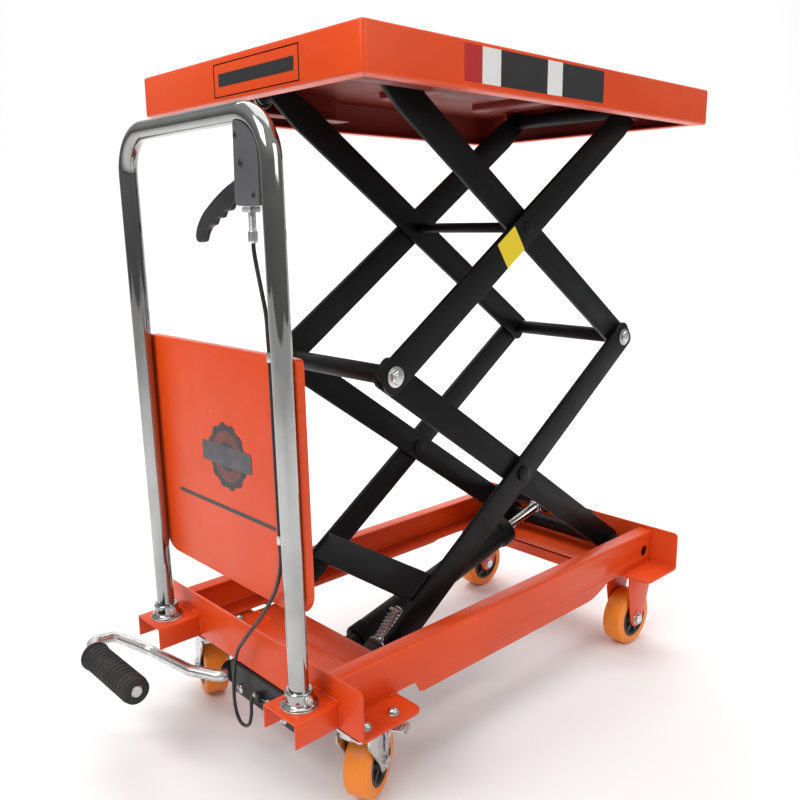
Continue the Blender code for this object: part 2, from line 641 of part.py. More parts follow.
def release():
    """Grip housing in the near corner of the handle, its squeeze lever, and the valve lever."""
    x, yc, zc = RELEASE_PIN
    bend_y, bend_z = -POST_Y + HANDLE_BEND, POST_TOP[1] - HANDLE_BEND
    outline = [(-0.1095, 0.7800), (-0.1115, 0.8660)]
    for k in range(1, 8):
        turn = 0.5 * pi * (1 + k / 8)
        outline.append((bend_y + 0.0460 * cos(turn), bend_z + 0.0460 * sin(turn)))
    outline += [(-0.1580, bend_z), (-0.1580, 0.7745), (-0.1160, 0.7745)]
    shell = prism(outline, "X", (x - 0.0115, x + 0.0115))
    slots = [block((x - 0.0045, x + 0.0045), (-0.1395, -0.0900), (0.7810, 0.8900)),
             block((x - 0.0045, x + 0.0045), (-0.1140, -0.0900), (0.7700, 0.8000))]
    pin = rod((x - 0.0107, yc, zc), (x + 0.0107, yc, zc), 0.0035, 12)
    seat = swept(handle_path(), POST_R + 0.0004, 20)
    housing = make("release_housing", "grey", [shell], slots + [seat])
    mesh = housing.data
    bpy.data.objects.remove(housing, do_unlink=True)
    make("release_housing", "grey", [mesh, pin])

    outer = [(-0.1033, 0.8067), (-0.1150, 0.8190), (-0.1150, 0.8245), (-0.1190, 0.8290), (-0.1250, 0.8310),
             (-0.1310, 0.8290), (-0.1350, 0.8240), (-0.1360, 0.8190), (-0.1340, 0.8120), (-0.1260, 0.8000),
             (-0.1150, 0.7890), (-0.1030, 0.7825), (-0.0935, 0.7775), (-0.0815, 0.7700), (-0.0725, 0.7678),
             (-0.0655, 0.7625), (-0.0570, 0.7605), (-0.0490, 0.7560), (-0.0395, 0.7500), (-0.0300, 0.7425),
             (-0.0255, 0.7350), (-0.0110, 0.7345), (-0.0065, 0.7390), (-0.0075, 0.7460), (-0.0130, 0.7560),
             (-0.0260, 0.7688), (-0.0400, 0.7775), (-0.0560, 0.7865), (-0.0740, 0.7950), (-0.0880, 0.8005)]
    blade = prism(outer, "X", (x - 0.0040, x + 0.0040))
    bore = rod((x - 0.02, yc, zc), (x + 0.02, yc, zc), 0.0038, 12)
    make("release_lever", "plastic", [blade], [bore], origin=RELEASE_PIN)

    nut = turned([(0.0030, 0), (0.0115, 0), (0.0115, -0.0077), (0.0044, -0.0077), (0.0044, -0.0270),
                  (0.0058, -0.0270), (0.0058, -0.0395), (0.0046, -0.0408), (0.0030, -0.0408)],
                 (x, -0.1262, 0.7742), (0, 0, 1), 16)
    make("cable_adjuster", "zinc", [nut])

    plate = prism([(-0.0070, -0.0065), (0.0050, -0.0070), (0.0330, 0.0030), (0.0360, 0.0080),
                   (0.0320, 0.0120),
                   (0.0010, 0.0070), (-0.0060, 0.0040)], "X", (-0.0025, 0.0025))
    bore = rod((-0.01, 0, 0), (0.01, 0, 0), 0.0033, 12)
    place = Matrix.Translation(Vector(VALVE_PIN))
    make("valve_lever", "zinc", [plate], [bore], origin=VALVE_PIN, turn=place)


CABLE_R = 0.0025
CABLE = [
    (-0.4375, -0.1262, 0.7350), (-0.4375, -0.1266, 0.7250), (-0.4372, -0.1310, 0.7050),
    (-0.4368, -0.1375, 0.6800),
    (-0.4368, -0.1440, 0.6550), (-0.4395, -0.1500, 0.6300), (-0.4401, -0.1522, 0.6080),
    (-0.4393, -0.1522, 0.5600),
    (-0.4383, -0.1522, 0.5000), (-0.4373, -0.1522, 0.4400), (-0.4365, -0.1522, 0.3900),
    (-0.4360, -0.1515, 0.3600),
    (-0.4320, -0.1380, 0.3300), (-0.4240, -0.1100, 0.2950),
    (-0.4200, -0.0750, 0.2550), (-0.4150, -0.0350, 0.2150), (-0.4090, 0.0020, 0.1750),
    (-0.4050, 0.0180, 0.1400),
    (-0.4030, 0.0260, 0.1100), (-0.4020, 0.0270, 0.0800), (-0.4010, 0.0200, 0.0600),
    (-0.4000, 0.0080, 0.0550),
    (-0.3990, -0.0040, 0.0620), (-0.3980, -0.0090, 0.0800), (-0.3972, -0.0090, 0.0970),
    (-0.3966, -0.0120, 0.1090),
    (-0.3962, -0.0180, 0.1130), (-0.3962, -0.0247, 0.1130),
]


def cable():
    curve = bpy.data.curves.new("release_cable", "CURVE")
    curve.dimensions = "3D"
    spline = curve.splines.new("POLY")
    spline.points.add(len(CABLE) - 1)
    for point, at in zip(spline.points, CABLE):
        point.co = (at[0], at[1], at[2], 1)
    curve.bevel_depth = CABLE_R
    curve.bevel_resolution = 2
    curve.use_fill_caps = True
    ob = bpy.data.objects.new("release_cable", curve)
    bpy.context.scene.collection.objects.link(ob)
    curve.materials.append(MATS["rubber"])


def pedal():
    x, y, z = PEDAL_HUB
    path = bent([(x - 0.003, y - 0.001, z), (-0.402, 0.066, z), (-0.424, 0.112, 0.108),
                 (-0.4415, 0.203, 0.112),
                 (-0.479, 0.241, 0.135), (-0.517, 0.238, 0.140), (GRIP_X, 0.203, 0.140),
                 (GRIP_X, 0.060, 0.140)],
                (0.014, 0.025, 0.030, 0.020, 0.020, 0.020), 4)
    hub = ring((x, 0, z), (0, 1, 0), 0.0040, 0.0135, (0.0505, 0.0780), 0.001)
    bore = rod((x, 0.04, z), (x, 0.09, z), 0.0064, 16)
    make("foot_pedal", "steel", [hub, swept(path, PEDAL_R, 16)], [bore], origin=(x, y, z))
    ribs = 13
    start = 0.064
    pitch = (0.190 - start) / ribs
    profile = [(0.0088, start - 0.004), (0.0185, start - 0.004)]
    for i in range(ribs):
        a = start + i * pitch
        profile += [(0.0200, a + 0.20 * pitch), (0.0200, a + 0.62 * pitch), (0.0178, a + 0.90 * pitch)]
    profile += [(0.0195, 0.1905), (GRIP_R, 0.1915), (GRIP_R, 0.1945), (0.0088, 0.1945)]
    make("pedal_grip", "rubber", [turned(profile, (GRIP_X, 0, 0.140), (0, 1, 0), 16)], origin=(x, y, z))


# ---------------------------------------------------------------- wheels
def wheel(prefix, centre, axis):
    """Black hub turning on its axle bolt and the tyre bonded round it."""
    half = TREAD / 2
    face = half + 0.001
    side = [(AXLE_R + 0.0004, face), (0.0130, face), (0.0130, face - 0.005), (0.0280, face - 0.005),
            (0.0280, face),
            (HUB_R - 0.0015, face), (HUB_R, face - 0.0015)]
    hub = turned(side + [(r, -y) for r, y in reversed(side)], centre, axis, 20)
    make(prefix + "_hub", "plastic", [hub], origin=centre)
    bore = HUB_R + GAP
    profile = [(bore, -half), (0.0440, -half), (0.0475, -half + 0.0020), (0.0493, -half + 0.0060),
               (WHEEL_R, -0.005), (WHEEL_R, 0.005), (0.0493, half - 0.0060), (0.0475, half - 0.0020),
               (0.0440, half), (bore, half)]
    make(prefix + "_tyre", "tyre", [turned(profile, centre, axis, 28)], origin=centre)


def casters():
    for side in (-1, 1):
        word = left_right(side)
        pivot = Vector((CASTER_X, side * CASTER_Y, 0))
        plate = prism(rounded(-0.0455, 0.0455, -0.055, 0.055, (0.006,) * 4, 3), "Z", (0.1345, 0.1382))
        cup = turned([(0, 0.1250), (0.0210, 0.1250), (0.0230, 0.1275), (0.0230, 0.1350), (0, 0.1350)],
                     (0, 0, 0), (0, 0, 1))
        stem = rod((0, 0, 0.1085), (0, 0, 0.126), 0.0060, 16)
        nut = rod((0, 0, 0.1045), (0, 0, 0.1090), 0.0085, 6)
        make("caster_plate_" + word, "zinc", [plate, cup, stem, nut], origin=pivot,
             turn=Matrix.Translation(pivot))

        turn = Matrix.Translation(pivot) @ Matrix.Rotation(CASTER_TURN[side], 4, "Z")
        crown = turned([(0.0064, 0.1095), (0.0270, 0.1095), (0.0285, 0.1110), (0.0285, 0.1190),
                        (0.0240, 0.1235),
                        (0.0200, 0.1247), (0.0064, 0.1247)], (0, 0, 0), (0, 0, 1), 24)
        bridge = block((-0.020, 0.034), (-0.0235, 0.0235), (0.1085, 0.1125))
        leg = [(-0.022, 0.1125), (-0.022, 0.100), (0.018, 0.047), (0.023, 0.039), (0.030, 0.0365),
               (0.037, 0.039),
               (0.042, 0.047), (0.042, 0.092), (0.036, 0.1125)]
        legs = [prism(leg, "Y", between(s, (0.0210, 0.0235))) for s in (-1, 1)]
        bolt = turned([(0, -0.0285), (0.0090, -0.0285), (0.0090, -0.0235), (AXLE_R, -0.0232),
                       (AXLE_R, 0.0232),
                       (0.0090, 0.0235), (0.0090, 0.0285), (0, 0.0285)], (TRAIL, 0, WHEEL_R), (0, 1, 0), 16)
        clear = [rod((0, 0, 0.10), (0, 0, 0.13), 0.0064, 16), rod((0, 0, 0.10), (0, 0, 0.1093), 0.0110, 16)]
        parts = [crown, bridge] + legs + [bolt]
        if side < 0:
            parts.append(rod((0.036, -0.0225, 0.088), (0.036, -0.0290, 0.088), 0.0030, 12))
            parts.append(rod((0.036, -0.0268, 0.088), (0.036, -0.0290, 0.088), 0.0060, 12))
        make("caster_fork_" + word, "zinc", parts, clear, origin=pivot, turn=turn)
        wheel("front_wheel_" + word, turn @ Vector((TRAIL, 0, WHEEL_R)), turn.to_3x3() @ Vector((0, 1, 0)))

    pivot = Vector((CASTER_X, -CASTER_Y, 0))
    turn = Matrix.Translation(pivot) @ Matrix.Rotation(CASTER_TURN[-1], 4, "Z")
    side_view = [(0.0270, 0.0700), (0.0330, 0.0640), (0.0400, 0.0660), (0.0440, 0.0820), (0.0520, 0.1015),
                 (0.0520, 0.1040), (0.0240, 0.1040), (0.0240, 0.1015), (0.0280, 0.0900)]
    blade = prism(side_view, "Y", (-0.0265, -0.0240))
    tab = block((0.0240, 0.0520), (-0.0540, -0.0250), (0.1015, 0.1040))
    lip = block((0.0240, 0.0520), (-0.0540, -0.0515), (0.0965, 0.1040))
    bore = rod((0.036, -0.03, 0.088), (0.036, -0.02, 0.088), 0.0034, 12)
    hinge = turn @ Vector((0.036, -0.0252, 0.088))
    make("brake_pedal", "zinc", [blade, tab, lip], [bore], origin=hinge, turn=turn)


# ---------------------------------------------------------------- build
for old in list(bpy.data.objects):
    bpy.data.objects.remove(old, do_unlink=True)
MATS = {name: paint(name, *look) for name, look in LOOKS.items()}
rails()
end_angles()
rear_forks()
pump_base()
pump()
base_shaft()
arms()
lift_bracket()
rollers()
deck()
cylinder()
return_spring()
handle()
release()
cable()
pedal()
casters()
for sign in (-1, 1):
    hub = Vector((REAR_AXLE_X, sign * REAR_WHEEL_Y, WHEEL_R))
    wheel("rear_wheel_" + left_right(sign), hub, Vector((0, 1, 0)))
for ob in bpy.data.objects:
    ob.location.x += MIDDLE_X
    ob.location.y += MIDDLE_Y
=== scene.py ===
import bpy
import bmesh
import json
import random
from math import cos, sin, tan, pi, radians, atan2
from mathutils import Vector, Matrix


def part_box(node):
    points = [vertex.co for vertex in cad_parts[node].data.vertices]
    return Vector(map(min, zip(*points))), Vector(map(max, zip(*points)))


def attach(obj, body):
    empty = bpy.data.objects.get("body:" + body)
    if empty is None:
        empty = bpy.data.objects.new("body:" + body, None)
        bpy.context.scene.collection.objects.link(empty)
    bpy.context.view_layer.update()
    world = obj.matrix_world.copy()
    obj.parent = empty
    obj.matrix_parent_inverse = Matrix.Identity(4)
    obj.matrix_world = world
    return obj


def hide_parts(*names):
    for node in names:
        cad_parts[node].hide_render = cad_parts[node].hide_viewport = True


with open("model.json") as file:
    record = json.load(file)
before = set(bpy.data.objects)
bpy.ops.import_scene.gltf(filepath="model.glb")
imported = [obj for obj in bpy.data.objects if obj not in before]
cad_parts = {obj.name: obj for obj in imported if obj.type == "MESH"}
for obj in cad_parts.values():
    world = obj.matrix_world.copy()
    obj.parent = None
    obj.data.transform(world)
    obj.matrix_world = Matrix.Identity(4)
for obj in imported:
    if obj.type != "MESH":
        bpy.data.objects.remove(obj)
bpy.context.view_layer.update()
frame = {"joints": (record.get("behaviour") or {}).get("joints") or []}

random.seed(7)

# ---------------------------------------------------------------- places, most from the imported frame
DLO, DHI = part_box("deck")
SX = (DLO.x + DHI.x) / 2                 # middle of the platform; pieces are drawn from here
SY = (DLO.y + DHI.y) / 2
SHIFT = Vector((SX, SY, 0))
HALF_Y = (DHI.y - DLO.y) / 2
TOP = DHI.z
DECK_T = 0.0025                          # the platform's sheet
UNDER = TOP - DECK_T
LOW = DLO.z


def middle(node):
    a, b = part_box(node)
    return (a + b) / 2 - SHIFT


JOINTS = {j["name"]: j for j in frame["joints"]}


def pin(name):
    """A hinge's point in the drawing frame."""
    return Vector(JOINTS[name]["pos_m"]) - SHIFT


HINGE = pin("lift")
NEAR_MID = pin("front_middle_joint")
TOP_PIN = pin("platform_hinge")
LOW_X = pin("lower_crossing")
UP_X = pin("upper_crossing")
FAR_MID = Vector((HINGE.x, 0, NEAR_MID.z))
LOW_ROLL = Vector((NEAR_MID.x, 0, HINGE.z))
TOP_ROLL = Vector((NEAR_MID.x, 0, TOP_PIN.z))
ROD_PIN = pin("rod_pin")
FOOT_PIN = pin("cylinder_tilt")
WHEEL_R = 0.05                           # radius of all four wheels
SLOPE = atan2(FAR_MID.z - LOW_ROLL.z, FAR_MID.x - LOW_ROLL.x)


# ---------------------------------------------------------------- materials
def nodes_of(name):
    mat = bpy.data.materials.new(name)
    mat.use_nodes = True
    tree = mat.node_tree
    shader = tree.nodes["Principled BSDF"]
    coord = tree.nodes.new("ShaderNodeTexCoord")
    return mat, tree, shader, coord


def noise(tree, coord, scale, detail=4.0, rough=0.55, stretch=None):
    tex = tree.nodes.new("ShaderNodeTexNoise")
    tex.inputs["Scale"].default_value = scale
    tex.inputs["Detail"].default_value = detail
    tex.inputs["Roughness"].default_value = rough
    if stretch:
        mapping = tree.nodes.new("ShaderNodeMapping")
        mapping.inputs["Scale"].default_value = stretch
        tree.links.new(coord.outputs["Object"], mapping.inputs["Vector"])
        tree.links.new(mapping.outputs["Vector"], tex.inputs["Vector"])
    else:
        tree.links.new(coord.outputs["Object"], tex.inputs["Vector"])
    return tex.outputs["Fac"]


def ramp(tree, fac, stops):
    node = tree.nodes.new("ShaderNodeValToRGB")
    tree.links.new(fac, node.inputs["Fac"])
    band = node.color_ramp
    while len(band.elements) < len(stops):
        band.elements.new(0.5)
    for element, (at, value) in zip(band.elements, stops):
        element.position = at
        rgb = (value, value, value) if isinstance(value, (int, float)) else value
        element.color = (rgb[0], rgb[1], rgb[2], 1)
    return node.outputs["Color"]


def mix(tree, fac, a, b):
    node = tree.nodes.new("ShaderNodeMix")
    node.data_type = "RGBA"
    for socket, value in ((node.inputs[6], a), (node.inputs[7], b)):
        if isinstance(value, tuple):
            socket.default_value = (value[0], value[1], value[2], 1)
        else:
            tree.links.new(value, socket)
    if isinstance(fac, (int, float)):
        node.inputs[0].default_value = fac
    else:
        tree.links.new(fac, node.inputs[0])
    return node.outputs[2]


def span(tree, fac, low, high):
    node = tree.nodes.new("ShaderNodeMapRange")
    node.inputs["To Min"].default_value = low
    node.inputs["To Max"].default_value = high
    node.inputs["From Min"].default_value = 0.3
    node.inputs["From Max"].default_value = 0.7
    tree.links.new(fac, node.inputs["Value"])
    return node.outputs["Result"]


def bump(tree, shader, height, distance, strength=1.0, after=None):
    node = tree.nodes.new("ShaderNodeBump")
    node.inputs["Strength"].default_value = strength
    node.inputs["Distance"].default_value = distance
    tree.links.new(height, node.inputs["Height"])
    if after is not None:
        tree.links.new(after, node.inputs["Normal"])
    tree.links.new(node.outputs["Normal"], shader.inputs["Normal"])
    return node.outputs["Normal"]


def painted(name, rgb, dark, worn, rough, peel=620, peel_d=0.0001, wear=0.62, coat=0.3, metal=0.0,
        gloss=0.3):
    """Sprayed or powder-coated metal: drifting tone, orange-peel skin, rubbed and dusty spots."""
    mat, tree, shader, coord = nodes_of(name)
    broad = noise(tree, coord, 5.5, 3)
    colour = mix(tree, ramp(tree, broad, ((0.35, 0.0), (0.68, 1.0))), rgb, dark)
    rub = noise(tree, coord, 46, 8, 0.68, (1.0, 1.0, 2.6))
    spots = ramp(tree, rub, ((wear, 0.0), (wear + 0.1, 1.0)))
    colour = mix(tree, spots, colour, worn)
    tree.links.new(colour, shader.inputs["Base Color"])
    tree.links.new(span(tree, noise(tree, coord, 31, 5), rough[0], rough[1]), shader.inputs["Roughness"])
    shader.inputs["Metallic"].default_value = metal
    shader.inputs["Coat Weight"].default_value = coat
    shader.inputs["Coat Roughness"].default_value = 0.12
    shader.inputs["Specular IOR Level"].default_value = gloss
    skin = bump(tree, shader, noise(tree, coord, peel, 2), peel_d, 0.7)
    bump(tree, shader, broad, 0.0006, 0.25, skin)
    return mat


def plated(name, bright, dull, rough, grain=240, drift=18, stretch=None, depth=0.00004):
    """Bare or plated metal with cloudy plating and fine grain."""
    mat, tree, shader, coord = nodes_of(name)
    cloud = noise(tree, coord, drift, 6, 0.6, stretch)
    tree.links.new(mix(tree, ramp(tree, cloud, ((0.36, 0.0), (0.66, 1.0))), bright, dull),
        shader.inputs["Base Color"])
    shader.inputs["Metallic"].default_value = 1.0
    fine = noise(tree, coord, grain, 3, 0.5, stretch)
    tree.links.new(span(tree, cloud, rough[0], rough[1]), shader.inputs["Roughness"])
    bump(tree, shader, fine, depth, 0.6)
    return mat


def moulded(name, rgb, dusty, rough, grain=1500, depth=0.0001, amount=0.66, coat=0.0):
    """Moulded plastic, rubber or cast skin with a fine even texture and some dust."""
    mat, tree, shader, coord = nodes_of(name)
    cloud = noise(tree, coord, 28, 6, 0.62)
    tree.links.new(mix(tree, ramp(tree, cloud, ((amount - 0.2, 0.0), (amount, 1.0))), rgb, dusty),
        shader.inputs["Base Color"])
    tree.links.new(span(tree, noise(tree, coord, 60, 4), rough[0], rough[1]), shader.inputs["Roughness"])
    shader.inputs["Coat Weight"].default_value = coat
    bump(tree, shader, noise(tree, coord, grain, 2), depth, 0.6)
    return mat


def vinyl(colour, rgb, dusty, amount=0.8):
    """A plain printed patch."""
    return moulded(colour + "_vinyl", rgb, dusty, (0.3, 0.42), 400, 0.00003, amount)


M = {
    "orange": painted("orange_powder_coat", (0.77, 0.07, 0.006), (0.68, 0.056, 0.005), (0.78, 0.12, 0.03),
        (0.32, 0.44), coat=0.12),
    # a darker copy of the orange paint for pieces inside the frame: painted shade
    "orange_shaded": painted("orange_inside_painted_shade", (0.62, 0.054, 0.006), (0.52, 0.04, 0.005), (0.68, 0.1, 0.03),
        (0.4, 0.54), coat=0.1),
    # a much darker copy of the orange paint for the platform's underside pieces: painted shade
    "shade": painted("orange_under_painted_shade", (0.21, 0.014, 0.005), (0.16, 0.011, 0.004), (0.3, 0.04, 0.02),
        (0.46, 0.62), coat=0.05),
    "black": painted("satin_black_paint", (0.0035, 0.0038, 0.0048), (0.0062, 0.0062, 0.0068),
        (0.045, 0.04, 0.038), (0.34, 0.5), 420, 0.00014, 0.69, 0.0, gloss=0.16),
    "pump": painted("pump_black", (0.012, 0.012, 0.013), (0.022, 0.021, 0.02), (0.06, 0.055, 0.05),
        (0.4, 0.6), 260, 0.0002, 0.62, 0.1),
    "chrome": plated("polished_chrome", (0.46, 0.46, 0.45), (0.32, 0.32, 0.32), (0.03, 0.07), 900, 7, None,
        0.000008),
    "zinc": plated("bright_zinc", (0.72, 0.72, 0.7), (0.5, 0.51, 0.52), (0.22, 0.38), 380, 90),
    "steel": plated("turned_steel", (0.62, 0.62, 0.62), (0.42, 0.42, 0.43), (0.22, 0.36), 520, 26,
        (1.0, 6.0, 1.0)),
    "spring": plated("spring_wire", (0.5, 0.5, 0.51), (0.26, 0.26, 0.27), (0.25, 0.42), 500, 60),
    "tyre": moulded("orange_polyurethane", (0.93, 0.255, 0.014), (0.8, 0.21, 0.024), (0.36, 0.52), 700,
        0.00008, 0.72, 0.0),
    "hub": moulded("black_nylon", (0.016, 0.016, 0.017), (0.036, 0.034, 0.032), (0.38, 0.55)),
    "plastic": moulded("black_plastic", (0.013, 0.013, 0.014), (0.024, 0.023, 0.023), (0.28, 0.44)),
    "rubber": moulded("black_rubber", (0.012, 0.012, 0.012), (0.034, 0.032, 0.03), (0.58, 0.78), 1200,
        0.00016),
    "cable": moulded("cable_sheath", (0.01, 0.01, 0.011), (0.022, 0.022, 0.022), (0.3, 0.45), 900, 0.00005),
    "grey": painted("grey_cast_metal", (0.115, 0.115, 0.12), (0.09, 0.09, 0.095), (0.2, 0.2, 0.2),
        (0.36, 0.52), 800, 0.00016, 0.66, 0.15, 0.35),
    "white": vinyl("white", (0.78, 0.77, 0.75), (0.66, 0.64, 0.61), 0.74),
    "red": vinyl("red", (0.46, 0.018, 0.016), (0.4, 0.018, 0.016)),
    "ink": vinyl("black", (0.02, 0.02, 0.022), (0.035, 0.035, 0.035)),
    "russet": vinyl("russet", (0.17, 0.028, 0.016), (0.11, 0.03, 0.022), 0.6),
    "slate": vinyl("slate", (0.05, 0.045, 0.055), (0.085, 0.075, 0.085), 0.6),
    "yellow": vinyl("yellow", (0.88, 0.66, 0.022), (0.8, 0.58, 0.03)),
}


# ---------------------------------------------------------------- solids
def link(ob):
    bpy.context.scene.collection.objects.link(ob)


def closed(bm):
    bmesh.ops.recalc_face_normals(bm, faces=bm.faces)
    mesh = bpy.data.meshes.new("solid")
    bm.to_mesh(mesh)
    bm.free()
    return mesh


def prism(outline, axis, ends):
    place = {
        "X": lambda p, d: (d, p[0], p[1]),
        "Y": lambda p, d: (p[0], d, p[1]),
        "Z": lambda p, d: (p[0], p[1], d),
    }[axis]
    bm = bmesh.new()
    near = [bm.verts.new(place(p, ends[0])) for p in outline]
    far = [bm.verts.new(place(p, ends[1])) for p in outline]
    count = len(outline)
    bm.faces.new(near)
    bm.faces.new(far)
    for i in range(count):
        j = (i + 1) % count
        bm.faces.new((near[i], near[j], far[j], far[i]))
    return closed(bm)


def block(x, y, z):
    return prism([(x[0], y[0]), (x[1], y[0]), (x[1], y[1]), (x[0], y[1])], "Z", z)


def sideways(axis):
    """Two directions square to an axis and to each other."""
    spare = Vector((0, 0, 1)) if abs(axis.z) < 0.9 else Vector((0, 1, 0))
    side = spare.cross(axis).normalized()
    return side, axis.cross(side)


def spoke(side, up, turn, r):
    """A point at radius r around the middle of the two directions."""
    return (side * cos(turn) + up * sin(turn)) * r


def turned(profile, at, axis, sides=40):
    axis = Vector(axis).normalized()
    side, up = sideways(axis)
    at = Vector(at)
    bm = bmesh.new()
    rings = []
    for radius, along in profile:
        centre = at + axis * along
        if radius == 0:
            rings.append([bm.verts.new(centre)])
            continue
        rings.append([bm.verts.new(centre + spoke(side, up, 2 * pi * i / sides, radius))
            for i in range(sides)])
    pairs = list(zip(rings, rings[1:]))
    if profile[0][0] > 0:
        pairs.append((rings[-1], rings[0]))
    for a, b in pairs:
        for i in range(sides):
            j = (i + 1) % sides
            if len(a) == 1:
                bm.faces.new((a[0], b[i], b[j]))
            elif len(b) == 1:
                bm.faces.new((a[i], b[0], a[j]))
            else:
                bm.faces.new((a[i], b[i], b[j], a[j]))
    return closed(bm)


def softened(profile, size=0.0008):
    """A turned profile with its corners eased, two points for each."""
    out = [profile[0]]
    for i in range(1, len(profile) - 1):
        p, q, r = Vector(profile[i - 1]), Vector(profile[i]), Vector(profile[i + 1])
        a, b = p - q, r - q
        cut = min(size, a.length * 0.4, b.length * 0.4)
        if a.length < 1e-7 or b.length < 1e-7 or abs(a.normalized().dot(b.normalized())) > 0.995:
            out.append(tuple(q))
            continue
        out.append(tuple(q + a.normalized() * cut))
        out.append(tuple(q + (a.normalized() + b.normalized()) * cut * 0.29))
        out.append(tuple(q + b.normalized() * cut))
    out.append(profile[-1])
    return out


def disc(radius, near, far):
    """Half section of a solid disc or pin, from near to far along its axis."""
    return [(0, near), (radius, near), (radius, far), (0, far)]


def both_ways(half):
    """A turned profile completed with its mirror image."""
    return half + [(r, -y) for r, y in reversed(half)]


def arc(x, z, r, start, end, steps):
    """Points along a circle's arc, both ends included; the angles are in degrees."""
    turns = [radians(start + (end - start) * k / steps) for k in range(steps + 1)]
    return [(x + r * cos(turn), z + r * sin(turn)) for turn in turns]


def lathe(profile, at, axis, sides=40, ease=0.0008):
    return turned(softened(profile, ease), at, axis, sides)


def hexagon(at, axis, width, span_, dome=0.0, twist=0.2):
    """A hex nut or bolt head with its corners turned off; a dome makes it a cap nut."""
    axis = Vector(axis).normalized()
    side, up = sideways(axis)
    at = Vector(at)
    flat = width / 2
    a, b = span_
    sides = 36
    bm = bmesh.new()

    def hexr(turn):
        k = (turn % (pi / 3)) - pi / 6
        return flat / cos(k)

    rows = []
    for reach, limit in ((a, flat * 1.04), (a + 0.0006, 9), (b - 0.0009, 9), (b, flat * 0.97)):
        ring = []
        for i in range(sides):
            turn = 2 * pi * i / sides
            r = min(hexr(turn), limit)
            ring.append(bm.verts.new(at + axis * reach + spoke(side, up, turn + twist, r)))
        rows.append(ring)
    if dome:
        for k in range(1, 6):
            lift = dome * sin(0.5 * pi * k / 6)
            r = flat * 0.86 * cos(0.5 * pi * k / 6)
            top = at + axis * (b + lift)
            rows.append([bm.verts.new(top + spoke(side, up, 2 * pi * i / sides, r)) for i in range(sides)])
    for p, q in zip(rows, rows[1:]):
        for i in range(sides):
            j = (i + 1) % sides
            bm.faces.new((p[i], p[j], q[j], q[i]))
    bm.faces.new(rows[0])
    bm.faces.new(rows[-1])
    return closed(bm)


def bent(points, bends, steps=10):
    pts = [Vector(p) for p in points]
    path = [pts[0]]
    for i in range(1, len(pts) - 1):
        back = (pts[i - 1] - pts[i]).normalized()
        ahead = (pts[i + 1] - pts[i]).normalized()
        half = back.angle(ahead) / 2
        radius = bends[i - 1] if isinstance(bends, (list, tuple)) else bends
        cut = radius / tan(half)
        centre = pts[i] + (back + ahead).normalized() * (radius / sin(half))
        start = (pts[i] + back * cut - centre).normalized()
        end = (pts[i] + ahead * cut - centre).normalized()
        for k in range(steps + 1):
            path.append(centre + start.slerp(end, k / steps) * radius)
    path.append(pts[-1])
    return path


def swept(path, radius, sides=24, loop=False):
    """A round bar along a path; radius may be a function of the point's number."""
    path = [Vector(p) for p in path]
    count = len(path)
    ahead = (path[1] - path[0]).normalized()
    spare = Vector((0, 0, 1)) if abs(ahead.z) < 0.9 else Vector((0, 1, 0))
    side = spare.cross(ahead).normalized()
    bm = bmesh.new()
    rings = []
    for i, point in enumerate(path):
        if loop:
            a, b = path[(i - 1) % count], path[(i + 1) % count]
        else:
            a, b = path[max(i - 1, 0)], path[min(i + 1, count - 1)]
        now = (b - a).normalized()
        side = (side - now * side.dot(now)).normalized()
        up = now.cross(side)
        r = radius(i) if callable(radius) else radius
        rings.append([bm.verts.new(point + spoke(side, up, 2 * pi * k / sides, r)) for k in range(sides)])
    pairs = list(zip(rings, rings[1:]))
    if loop:
        pairs.append((rings[-1], rings[0]))
    width = len(rings[0])
    for a, b in pairs:
        for k in range(width):
            j = (k + 1) % width
            bm.faces.new((a[k], b[k], b[j], a[j]))
    if not loop:
        bm.faces.new(rings[0])
        bm.faces.new(rings[-1])
    return closed(bm)


def rounded(x0, x1, z0, z1, radii, steps=6):
    if not isinstance(radii, (list, tuple)):
        radii = (radii,) * 4
    corners = [(x0, z0, 1, 1, pi), (x1, z0, -1, 1, 1.5 * pi), (x1, z1, -1, -1, 0), (x0, z1, 1, -1, 0.5 * pi)]
    outline = []
    for (x, z, dx, dz, start), r in zip(corners, radii):
        for k in range(steps + 1):
            turn = start + 0.5 * pi * k / steps
            outline.append((x + dx * r + r * cos(turn), z + dz * r + r * sin(turn)))
    return outline


def catmull(a, b, c, d, t):
    """A point between b and c on the Catmull-Rom curve through a, b, c and d."""
    square = (2 * a - 5 * b + 4 * c - d) * t * t
    cube = (3 * b - a - 3 * c + d) * t * t * t
    return 0.5 * ((2 * b) + (c - a) * t + square + cube)


def smoothed(points, steps=6):
    """A closed Catmull-Rom outline through the points."""
    out = []
    n = len(points)
    pts = [Vector(p) for p in points]
    for i in range(n):
        a, b, c, d = pts[i - 1], pts[i], pts[(i + 1) % n], pts[(i + 2) % n]
        for k in range(steps):
            t = k / steps
            out.append(tuple(catmull(a, b, c, d, t)))
    return out


def curve_points(points, steps=8):
    """An open Catmull-Rom line through the points."""
    pts = [Vector(p) for p in points]
    pts = [pts[0] * 2 - pts[1]] + pts + [pts[-1] * 2 - pts[-2]]
    out = []
    for i in range(1, len(pts) - 2):
        a, b, c, d = pts[i - 1], pts[i], pts[i + 1], pts[i + 2]
        for k in range(steps):
            t = k / steps
            out.append(catmull(a, b, c, d, t))
    out.append(pts[-2])
    return out


def lofted(rings_):
    """Closed skin through equal-length rings, capped at both ends."""
    bm = bmesh.new()
    rings = [[bm.verts.new(p) for p in ring] for ring in rings_]
    count = len(rings[0])
    for a, b in zip(rings, rings[1:]):
        for i in range(count):
            j = (i + 1) % count
            bm.faces.new((a[i], a[j], b[j], b[i]))
    bm.faces.new(rings[0])
    bm.faces.new(rings[-1])
    return closed(bm)


